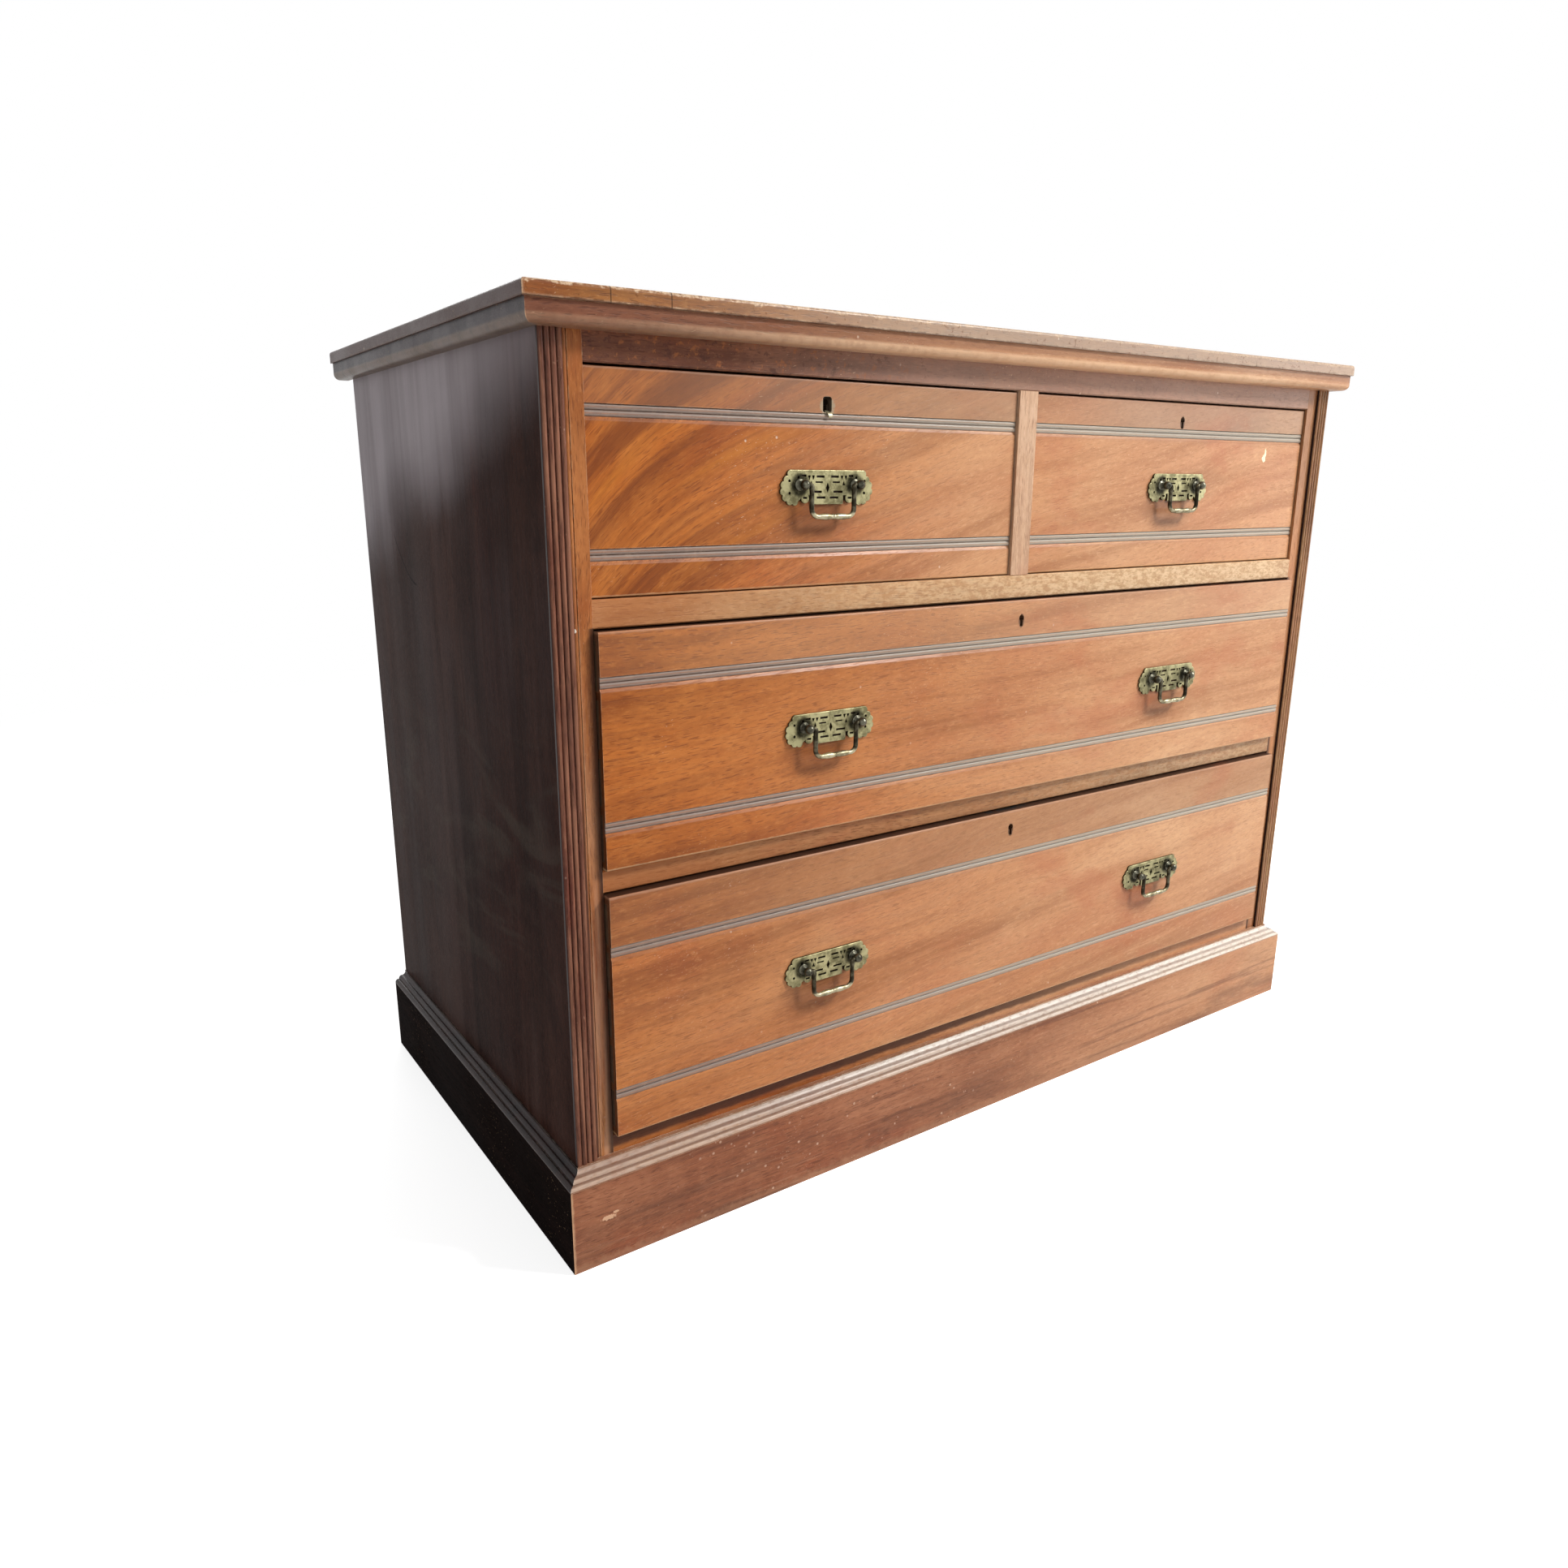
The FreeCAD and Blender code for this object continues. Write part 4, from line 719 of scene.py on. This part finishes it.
# The top rail is darker than the other rails: painted shade under the top moulding.
TOP_RAIL = (rgb(118, 68, 46), rgb(72, 38, 26), rgb(150, 98, 72))
MUNTIN = (rgb(204, 165, 133), rgb(160, 118, 90), rgb(222, 190, 162))
TOP = (rgb(160, 100, 48), rgb(96, 54, 26), rgb(194, 136, 80))
RED = (rgb(114, 66, 46), rgb(74, 40, 28), rgb(144, 94, 70))
PLINTH = (rgb(152, 92, 62), rgb(102, 60, 42), rgb(184, 126, 92))
PLINTH_TOP = (rgb(172, 126, 94), rgb(130, 90, 66), rgb(200, 160, 128))
# One wood for both pilasters, the left palette darker (painted shade) and the right one lighter
# (painted light).
REEDED = {"left": (rgb(100, 54, 38), rgb(52, 26, 18), rgb(132, 86, 66)),
          "right": (rgb(160, 116, 76), rgb(96, 62, 38), rgb(190, 150, 104))}
SIDE = (rgb(60, 35, 28), rgb(34, 18, 14), rgb(86, 56, 46))
PLINTH_SIDE = (rgb(23, 15, 13), rgb(12, 8, 7), rgb(38, 26, 23))
WORN_TOP = rgb(222, 192, 158)
HIDDEN = {"bottom_board": "X", "dustboards": "X", "drawer_runners": "Y", "drawer_guides": "Y",
          "drawer_stops": "X", "back_boards": "Z", "glue_blocks": "X"}


def assign(node, material):
    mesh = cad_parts[node].data
    mesh.materials.clear()
    mesh.materials.append(material)


def clad(node, *look, **more):
    assign(node, wood(node + "_wood", *look, **more))


def dress_carcass():
    clad("top_board", "X", TOP, 1, worn=WORN_TOP, wear=1.0, edge=0.004, specks=1.0,
         stain=mitred("top_board", 2.2 * MM), stained=GREY_STAIN, fade=0.4, paint=top_edge)
    clad("top_moulding", "X", RED, 2, specks=0.8, stain=mitred("top_moulding"),
         stained=GREY_STAIN, fade=0.9, paint=moulding_light_and_shade)
    for side, seed in (("left", 3), ("right", 4)):
        clad("side_panel_" + side, "Z", SIDE, seed, figure=0.7, wear=0.35,
             worn=rgb(120, 86, 72), specks=0.12, rough=0.26, wavy=1.2, paint=side_bloom_and_sheen,
             shine=0.15, ior=1.05, coat=0.03)
        clad("pilaster_" + side, "Z", REEDED[side], seed + 2, worn=rgb(196, 156, 130), wear=0.9,
             edge=0.0009, specks=0.6, stain=sideways, paint=reed_crest_light_and_shade)
    clad("stiles", "Z", STILE, 7, fade=0.4, paint=stile_marks_and_shade)
    clad("top_rail", "X", TOP_RAIL, 8, wear=0.5, specks=1.0, fade=0.35, paint=crumbled)
    clad("upper_rail", "X", RAIL, 9, paint=rail_sheen_and_shade(-0.55, 0.2, 0.8))
    clad("lower_rail", "X", LOW_RAIL, 10, paint=rail_sheen_and_shade(-0.25, 0.45, 0.5))
    clad("bottom_rail", "X", STILE, 11, wear=0.5, specks=0.4, fade=0.9, fade_from=-0.3,
         paint=shadow_under_drawer)
    clad("muntin", "Z", MUNTIN, 12, wear=0.5, specks=0.4)
    clad("plinth_front", "X", PLINTH, 13, specks=1.0, edge=0.0016, rough=0.42,
         stain=sideways, fade=0.8, fade_from=-0.25, fade_to=0.45, paint=plinth_marks)
    clad("plinth_sides", "Y", PLINTH_SIDE, 14, wear=0.3, worn=rgb(150, 112, 92),
         shine=0.1, ior=1.04, coat=0.0)
    clad("plinth_moulding", "X", PLINTH_TOP, 15, worn=rgb(238, 220, 200), wear=0.9, specks=0.6,
         coat=0.1, coat_rough=0.25, stain=mitred("plinth_moulding"), paint=rubbed_and_lit_reeds)
    for seed, (node, grain) in enumerate(HIDDEN.items()):
        joints = BACK_JOINTS if node == "back_boards" else ()
        assign(node, pine(node + "_wood", grain, seed + 1, joints=joints))


# Each front's seed, slant, figure and veins, then where and how far it pales to the right (painted
# sheen and sun fading), and the tone on the strip above its upper band (on the two top drawers,
# painted shade under the top's overhang).
LOOKS = {"top_left": (21, 0.3, 0.45, 0.72, (-0.44, 0.02, 0.92), (rgb(140, 124, 108), 0.38)),
         "top_right": (22, 0.16, 0.4, 0.0, (-0.5, 0.15, 0.85), (rgb(128, 124, 114), 0.4)),
         "upper": (23, 0.05, 0.4, 0.0, (-0.5, 0.3, 0.9), (rgb(204, 188, 158), 0.13)),
         "lower": (24, 0.1, 0.45, 0.0, (-0.8, 0.3, 0.88), (rgb(128, 98, 74), 0.3))}


def dress_drawers():
    for name, (seed, slant, figure, veins, sheen_span, top_strip_tone_and_shade) in LOOKS.items():
        part = name + "_drawer_"
        low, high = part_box(part + "front")
        tags, (below, above) = DRAWERS[name]
        bands = (low.z + below * MM, high.z - above * MM)
        extra = {"top_left": key_wear((low.x + high.x) / 2, low.y, high.z - KEY_DROP * MM),
                 "top_right": chipped}.get(name)
        clad(part + "front", "X", FRONT, seed, slant, figure, worn=rgb(216, 174, 140),
             specks=0.8, veins=veins, bend=0.05, fade_from=sheen_span[0], fade_to=sheen_span[1], fade=sheen_span[2],
             paint=front_paint(low, high, bands, tags, top_strip_tone_and_shade, extra))
        assign(part + "sides", pine(part + "sides_wood", "Y", seed, high.y))
        assign(part + "back", pine(part + "back_wood", "X", seed + 5))
        assign(part + "bottom", pine(part + "bottom_wood", "X", seed + 10))
        assign(part + "lock_case", IRON)
        assign(part + "lock_bolt", LOCK_BRASS)


# ------------ shapes
SQUARE = ((-1, -1), (1, -1), (1, 1), (-1, 1))
NAIL = ((2.1, -0.3), (2.4, 0.1), (2.2, 0.3), (0.8, 0.36))
SHANK = ((2.3, -PLATE_THICK), (2.3, 27.4), (1.9, 28.0))
NUT = ((3.7, 20.0), (4.0, 20.3), (4.0, 23.7), (3.6, 24.0))  # half its width, and depth
CURL = ((2.6, -7.2), (1.2, -8.3), (-0.2, -8.7), (-1.1, -9.4), (-1.9, -10.6), (-2.2, -12.0),
        (-1.7, -13.2), (-0.8, -13.6), (-0.3, -12.9))  # the torn liner's, as (y, z)
CURL_WALL = 0.35
EAR, DISC = (24.5, -11.5, 4.4), (37.3, -4.0, 11.3)  # circles as (x, z, radius)
SCALLOP, SCALLOP_OUT, TOP_CORNER = 3.4, 10.6, (40.2, 12.6)
APRON = [(16.7, -16.9), (17.5, -16.1), (17.5, -9.0)]
EAR_START = (20.88, -9.0)
ARC_STEPS = 9


def new_object(name, data):
    thing = bpy.data.objects.new(name, data)
    bpy.context.scene.collection.objects.link(thing)
    return thing


def new_piece(name, mesh, material, body, smooth):
    """A piece that rides on a body; where smooth is zero, its faces are shaded as built."""
    piece = new_object(name, mesh)
    mesh.materials.append(material)
    if smooth:
        mesh.shade_smooth()
        mesh.set_sharp_from_angle(angle=math.radians(smooth))
    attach(piece, body)
    return piece


def mesh_of(name, build, *where):
    """A mesh from a function that fills a bmesh in millimetres."""
    bm = bmesh.new()
    build(bm, *where)
    bmesh.ops.recalc_face_normals(bm, faces=bm.faces)
    bmesh.ops.scale(bm, vec=(MM, MM, MM), verts=bm.verts)
    mesh = bpy.data.meshes.new(name)
    bm.to_mesh(mesh)
    bm.free()
    return mesh


def closed(loop):
    """The sides of an outline, each as a pair of its points."""
    return zip(loop, loop[1:] + loop[:1])


def mirrored(points):
    return [(-x, z) for x, z in points]


def skin(bm, loops):
    """Joins loops of points, each the same length, into a skin closed at both ends."""
    made = [[bm.verts.new(point) for point in loop] for loop in loops]
    for near, far in zip(made, made[1:]):
        for (a, b), (c, d) in zip(closed(near), closed(far)):
            bm.faces.new((a, b, d, c))
    bm.faces.new(made[0][::-1])
    bm.faces.new(made[-1])


def circle(x, z, radius, count=16):
    return [(x + radius * math.cos(2 * PI * i / count), z + radius * math.sin(2 * PI * i / count))
            for i in range(count)]


def lathe(bm, profile, centre, sides=28):
    """A piece turned about the Y axis through a centre, from (radius, y) pairs."""
    skin(bm, [[(px, centre.y + y, pz) for px, pz in circle(centre.x, centre.z, radius, sides)]
              for radius, y in profile])


def outer_meeting(a, b):
    """Where two circles (x, z, radius) cross, on the right going from a to b."""
    ax, az, ar = a
    bx, bz, br = b
    dx, dz = bx - ax, bz - az
    gap = math.hypot(dx, dz)
    along = (ar * ar - br * br + gap * gap) / (2 * gap)
    out = math.sqrt(max(ar * ar - along * along, 0.0))
    return (ax + (dx * along + dz * out) / gap, az + (dz * along - dx * out) / gap)


def arc_points(ring, start, end):
    """Points round a circle from one of its points anticlockwise to just before another."""
    x, z, radius = ring
    a = math.atan2(start[1] - z, start[0] - x)
    b = math.atan2(end[1] - z, end[0] - x)
    while b <= a:
        b += 2 * PI
    return [(x + radius * math.cos(a + (b - a) * i / ARC_STEPS),
             z + radius * math.sin(a + (b - a) * i / ARC_STEPS)) for i in range(ARC_STEPS)]


def plate_outline():
    """The backplate's edge: a bar with an apron, ears and scalloped roundels."""
    chain = [EAR, DISC]
    for angle in range(-100, 51, 30):
        turn = math.radians(angle)
        chain.append((DISC[0] + SCALLOP_OUT * math.cos(turn),
                      DISC[1] + SCALLOP_OUT * math.sin(turn), SCALLOP))
    chain.append((TOP_CORNER[0], 9.2, SCALLOP))
    meetings = [outer_meeting(a, b) for a, b in zip(chain, chain[1:])]
    right = list(APRON)
    for ring, start, end in zip(chain, [EAR_START] + meetings, meetings + [TOP_CORNER]):
        right += arc_points(ring, start, end)
    right.append(TOP_CORNER)
    return right + mirrored(right[::-1])


def plate_fret():
    """The openings pierced through the backplate: a diamond, slots, triangles and dots."""
    right = []
    for x, z, length, tall in ((8.0, 7.0, 8.6, 1.9), (9.5, 2.2, 8.0, 1.4), (11.7, -6.0, 10.5, 1.9),
                               (7.2, -11.0, 9.5, 1.9), (26.0, 7.7, 5.2, 1.7),
                               (24.8, -11.2, 4.4, 1.8)):
        right.append([(x + a * length / 2, z + b * tall / 2) for a, b in SQUARE])
    for x, z, up in ((15.9, 6.2, 1), (20.2, 6.2, 1), (18.0, 1.2, -1)):
        right.append([(x - 1.6, z + up * 1.7), (x + 1.6, z + up * 1.7), (x, z - up * 2.4)])
    for x, z in ((32.0, 6.0), (41.5, 3.2), (41.3, -7.2)):
        right.append(circle(x, z, 1.25))
    diamond = [(0, -7.2), (1.9, -2.6), (0, 2.0), (-1.9, -2.6)]
    return [diamond] + right + [mirrored(outline) for outline in right]


def turned_way(loop, anticlockwise):
    """The outline itself, or its reverse, so that it runs the way asked for."""
    area = sum(a[0] * b[1] - b[0] * a[1] for a, b in closed(loop))
    return loop if (area > 0) == anticlockwise else loop[::-1]


def inset(loop, amount):
    """An outline moved to its left by an amount, corner by corner."""
    points = [Vector(point) for point in loop]
    moved = []
    for before, (here, after) in zip(points[-1:] + points[:-1], closed(points)):
        a, b = (here - before).normalized(), (after - here).normalized()
        out = Vector((-a.y - b.y, a.x + b.x)).normalized()
        reach = max(out.dot(Vector((-a.y, a.x))), 0.55)
        moved.append(here + out * (amount / reach))
    return moved


def inside(point, loops):
    """Whether a point is in the plate: inside its outline and in none of its openings."""
    crossings = 0
    for loop in loops:
        for a, b in closed(loop):
            if (a[1] > point.y) != (b[1] > point.y):
                cross = a[0] + (point.y - a[1]) * (b[0] - a[0]) / (b[1] - a[1])
                crossings += cross > point.x
    return crossings % 2 == 1


def fill_between(bm, loops, rows):
    """Faces between an outline and its openings; rows holds the vertices on the loops."""
    flat = [Vector(point) for loop in loops for point in loop]
    verts = [vert for row in rows for vert in row]
    edges = []
    for loop in loops:
        edges += closed([len(edges) + i for i in range(len(loop))])
    _, _, faces, origins, _, _ = geometry.delaunay_2d_cdt(flat, edges, [], 0, 1e-6)
    for face in faces:
        corners = [origins[index][0] for index in face]
        if inside(sum((flat[i] for i in corners), Vector((0, 0))) / 3, loops):
            bm.faces.new([verts[i] for i in corners]).smooth = False


def build_plate(bm, x, face, z):
    """A pierced plate, its front edges and the edges of its openings rounded off."""
    outlines = plate_fret() + [circle(side * POST_SPACING, 0, 2.5) for side in (-1, 1)]
    loops = [turned_way(plate_outline(), True)]
    loops += [turned_way(outline, False) for outline in outlines]
    back, front, inner = [], [], []
    for loop in loops:
        rows = []
        soft = FRET_SOFT if back else PLATE_SOFT
        for amount, depth in ((0.0, 0.0), (0.0, PLATE_THICK - soft),
                              (soft * 0.3, PLATE_THICK - soft * 0.3), (soft, PLATE_THICK)):
            shape = inset(loop, amount)
            rows.append([bm.verts.new((x + px, face / MM - depth, z / MM + pz))
                         for px, pz in shape])
        for near, far in zip(rows, rows[1:]):
            for i in range(len(near)):
                bm.faces.new((near[i - 1], near[i], far[i], far[i - 1])).smooth = True
        back.append(rows[0])
        front.append(rows[-1])
        inner.append([tuple(point) for point in shape])
    fill_between(bm, loops, back)
    fill_between(bm, inner, front)


def post_profile():
    """The turned post in front of its plate: flange, cove, collar, ball and button."""
    neck = 2.8
    profile = [(radius, -PLATE_THICK - out) for radius, out in
               ((5.2, 0), (5.2, 0.7), (4.9, 1.1), (4.1, 1.4), (3.1, 1.9), (2.7, 2.6), (3.3, 3.1),
                (3.3, 3.6), (neck, 4.0))]
    start = math.asin(neck / POST_BALL)
    for i in range(11):
        angle = start + (PI - 0.4 - start) * i / 10
        profile.append((POST_BALL * math.sin(angle), -POST_REACH + POST_BALL * math.cos(angle)))
    return profile + [(1.5, -POST_REACH - POST_BALL * 0.97), (0.9, -POST_REACH - POST_BALL)]


def build_posts(bm, x, face, z):
    """Posts, the shanks through the drawer front, and their nuts."""
    for side in (-1, 1):
        centre = Vector((x + side * POST_SPACING, face / MM, z / MM))
        lathe(bm, post_profile(), centre)
        lathe(bm, SHANK, centre, 16)
        skin(bm, [[centre + Vector((half * a, depth, half * b)) for a, b in SQUARE]
                  for half, depth in NUT])


def grip_radius(u):
    """The lower bar's radius at u from its middle: a ring, a groove and a long swelling."""
    if u < 0.9:
        return 2.75
    if u < 1.7:
        return 2.05
    return 2.15 + 0.75 * math.sin(PI * min((u - 1.7) / 13.3, 1.0)) ** 0.8


def bail_line():
    """The right half of the bail's middle line, as (x, z, radius) from grip to pivot pin."""
    straight, bend, end = BAIL_HALF - BAIL_CORNER, 2.2, 2.5
    bar = [i / 18 * straight for i in range(19)]
    points = [(u, -BAIL_DROP, grip_radius(u)) for u in bar]
    for i in range(1, 11):
        angle = PI / 2 * i / 10
        points.append((straight + BAIL_CORNER * math.sin(angle),
                       BAIL_CORNER - BAIL_DROP - BAIL_CORNER * math.cos(angle), BAIL_ROD))
    points += [(BAIL_HALF, -15, 2.15), (BAIL_HALF, -9, 2.05), (BAIL_HALF, -5.5, 2.2),
               (BAIL_HALF, -3.6, end)]
    for i in range(1, 7):
        angle = PI / 2 * i / 6
        points.append((BAIL_HALF + bend * (1 - math.cos(angle)), -bend + bend * math.sin(angle),
                       end - 0.6 * i / 6))
    return points + [(BAIL_HALF + 3.0, 0, BAIL_PIN), (BAIL_HALF + 8.0, 0, BAIL_PIN)]


def build_bail(bm, x, face, z):
    """A round rod of changing thickness along the bail's whole line."""
    right = bail_line()
    line = [(-px, pz, radius) for px, pz, radius in reversed(right[1:])] + right
    loops = []
    for i, (px, pz, radius) in enumerate(line):
        before, after = line[max(i - 1, 0)], line[min(i + 1, len(line) - 1)]
        tx, tz = after[0] - before[0], after[1] - before[1]
        length = math.hypot(tx, tz)
        nx, nz = -tz / length, tx / length
        loops.append([(x + px + radius * c * nx, face / MM - POST_REACH + radius * s,
                       z / MM + pz + radius * c * nz) for c, s in circle(0, 0, 1, 20)])
    skin(bm, loops)


PLATE_TONES = (rgb(168, 161, 122), rgb(112, 106, 76), rgb(28, 26, 18))
BAIL_TONES = (rgb(172, 164, 136), rgb(108, 100, 76), rgb(34, 30, 22))


def make_handles():
    for name, (tags, _) in DRAWERS.items():
        body = name + "_drawer"
        low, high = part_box(body + "_front")
        middle = (low.z + high.z) / 2
        plate_brass = brass(name + "_plate_brass", *PLATE_TONES, 0.34, posts_tarnish_and_shade(middle))
        bail_brass = brass(name + "_bail_brass", *BAIL_TONES, 0.26, ungripped(middle))
        plates, posts = [], []
        for tag in tags:
            bail, where = tag + "_bail", (handle_x(tag), low.y, middle)
            plate = mesh_of(tag + "_plate", build_plate, *where)
            plates.append(new_piece(tag + "_handle_plate", plate, plate_brass, body,
                                    0))
            post = mesh_of(tag + "_posts", build_posts, *where)
            posts.append(new_piece(tag + "_handle_posts", post, POST_BRASS, body,
                                   35))
            hanging = new_piece(tag + "_handle_bail", mesh_of(bail, build_bail, *where),
                                bail_brass, bail + "_body", 60)
            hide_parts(bail)
        for piece in plates:
            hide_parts(body + "_handle_plates")
        for piece in posts:
            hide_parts(body + "_handle_posts")


def build_liner(bm, x, face, z):
    """What is left of the top left keyhole's brass liner: a torn strip, curled outwards."""
    loops = []
    for i, (y, dz) in enumerate(CURL):
        ahead = Vector(CURL[min(i + 1, len(CURL) - 1)]) - Vector(CURL[max(i - 1, 0)])
        off = Vector((-ahead.y, ahead.x)).normalized() * CURL_WALL
        left = x - 1.6 + 0.34 * i
        right = x + 4.4 + 0.16 * i - 0.05 * i * i
        low = (face / MM + y, z / MM + dz)
        high = (low[0] + off.x, low[1] + off.y)
        loops.append([(left, *low), (right, *low), (right, *high), (left, *high)])
    skin(bm, loops)


def make_liner():
    low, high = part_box("top_left_drawer_front")
    strip = mesh_of("key_liner", build_liner, (low.x + high.x) / 2 / MM, low.y,
                    high.z - KEY_DROP * MM)
    tin = brass("liner_brass", rgb(176, 168, 140), rgb(120, 114, 90), rgb(40, 36, 27), 0.4)
    new_piece("top_left_key_liner", strip, tin, "top_left_drawer", 60)


def nail_places():
    """Where the back boards are nailed, as (x, z): sides, carcass bottom and runners."""
    low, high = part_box("back_boards")
    edge = high.x / MM - 3.0
    places = [(side * edge, z) for side in (-1, 1) for z in (52, 214, 398, 611, 778)]
    ends = [low.x, *BACK_JOINTS, high.x]
    for left, right in zip(ends, ends[1:]):
        places += [(left / MM + 34, 109.4), (right / MM - 34, 109.4)]
    places += [(side * 484, z) for side in (-1, 1) for z in (358.4, 586.4)]
    return places + [(0, 586.4)]


def build_nails(bm):
    """Flat-headed nails, driven almost flush and not quite in line."""
    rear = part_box("back_boards")[1].y / MM
    for x, z in nail_places():
        wander = math.sin(x * 12.9 + z * 7.3) * 2.4
        lathe(bm, NAIL, Vector((x + wander / 4, rear, z + wander)), 12)


def make_nails():
    new_piece("back_nails", mesh_of("back_nails", build_nails), IRON, "carcass", 30)


# ------------ set and light
WHITE = (1, 1, 1, 1)


def set_floor():
    """A pale floor that keeps the chest's shadow and runs into the white beyond."""
    mesh = bpy.data.meshes.new("floor")
    bm = bmesh.new()
    bmesh.ops.create_grid(bm, x_segments=1, y_segments=1, size=40)
    bm.to_mesh(mesh)
    bm.free()
    floor = new_object("floor", mesh)
    floor.location.z = -0.0003
    f = Finish("floor_white")
    seen = f.ground_seen()
    camera = f.add("LightPath").outputs["Is Camera Ray"]
    matt = f.add("BsdfDiffuse", {"Color": (0.82, 0.82, 0.82, 1)}).outputs[0]
    glow = f.plus(f.times(seen, 0.42), f.times(camera, 0.34))
    lift = f.add("Emission", {"Color": WHITE, "Strength": glow}).outputs[0]
    near = f.add("AddShader", {0: matt, 1: lift}).outputs[0]
    white = f.add("Emission", {"Color": WHITE, "Strength": 1.0}).outputs[0]
    far = f.times(f.step(f.length(f.place), 1.0, 3.2), seen)
    both = f.add("MixShader", {0: far, 1: near, 2: white}).outputs[0]
    f.add("OutputMaterial", {0: both})
    mesh.materials.append(f.material)


def set_world():
    """White as the ground, and a quarter as strong as light on the chest."""
    world = bpy.data.worlds.new("studio")
    bpy.context.scene.world = world
    world.use_nodes = True
    sky = Nodes(world.node_tree)
    level = sky.add("MapRange", {0: sky.ground_seen(), 3: 0.25, 4: 1.0}).outputs[0]
    sky.add("OutputWorld", {0: sky.add("Background", {0: WHITE, 1: level}).outputs[0]})


def lamp(name, place, aim, size, power):
    data = bpy.data.lights.new(name, "AREA")
    data.shape, data.size, data.energy = "DISK", size, power
    light = new_object(name, data)
    light.location = place
    light.rotation_euler = (Vector(aim) - Vector(place)).to_track_quat("-Z", "Y").to_euler()
    light.visible_camera = False


def set_camera():
    """The photograph's viewpoint: close by, a little above the top, from the front left."""
    data = bpy.data.cameras.new("camera")
    data.sensor_fit, data.sensor_width, data.lens = "HORIZONTAL", 36.0, 25.691
    data.shift_x, data.shift_y = 0.01285, 0.00266
    camera = new_object("camera", data)
    camera.location = (-0.8673, -1.07429, 0.6815)
    camera.rotation_euler = (math.radians(90 - 15.008), 0.0, math.radians(-33.835))
    bpy.context.scene.camera = camera


POST_BRASS = brass("post_brass", rgb(104, 102, 88), rgb(44, 42, 34), rgb(16, 15, 11), 0.22)
LOCK_BRASS = brass("lock_brass", rgb(196, 160, 90), rgb(140, 112, 62), rgb(60, 46, 26), 0.34)
IRON = iron("lock_iron")

set_camera()
dress_carcass()
dress_drawers()
make_handles()
make_liner()
make_nails()
set_floor()
set_world()
lamp("key", (2.3, -2.3, 3.1), (0.1, 0.0, 0.45), 1.0, 165)
lamp("side", (2.9, -1.7, 0.9), (0.2, 0.0, 0.4), 1.4, 14)
lamp("fill", (-2.6, -3.0, 1.8), (0.0, 0.0, 0.4), 2.4, 16)
lamp("back", (0.6, 3.2, 2.6), (0.0, 0.0, 0.4), 2.4, 50)
bpy.context.scene.view_settings.view_transform = "Standard"
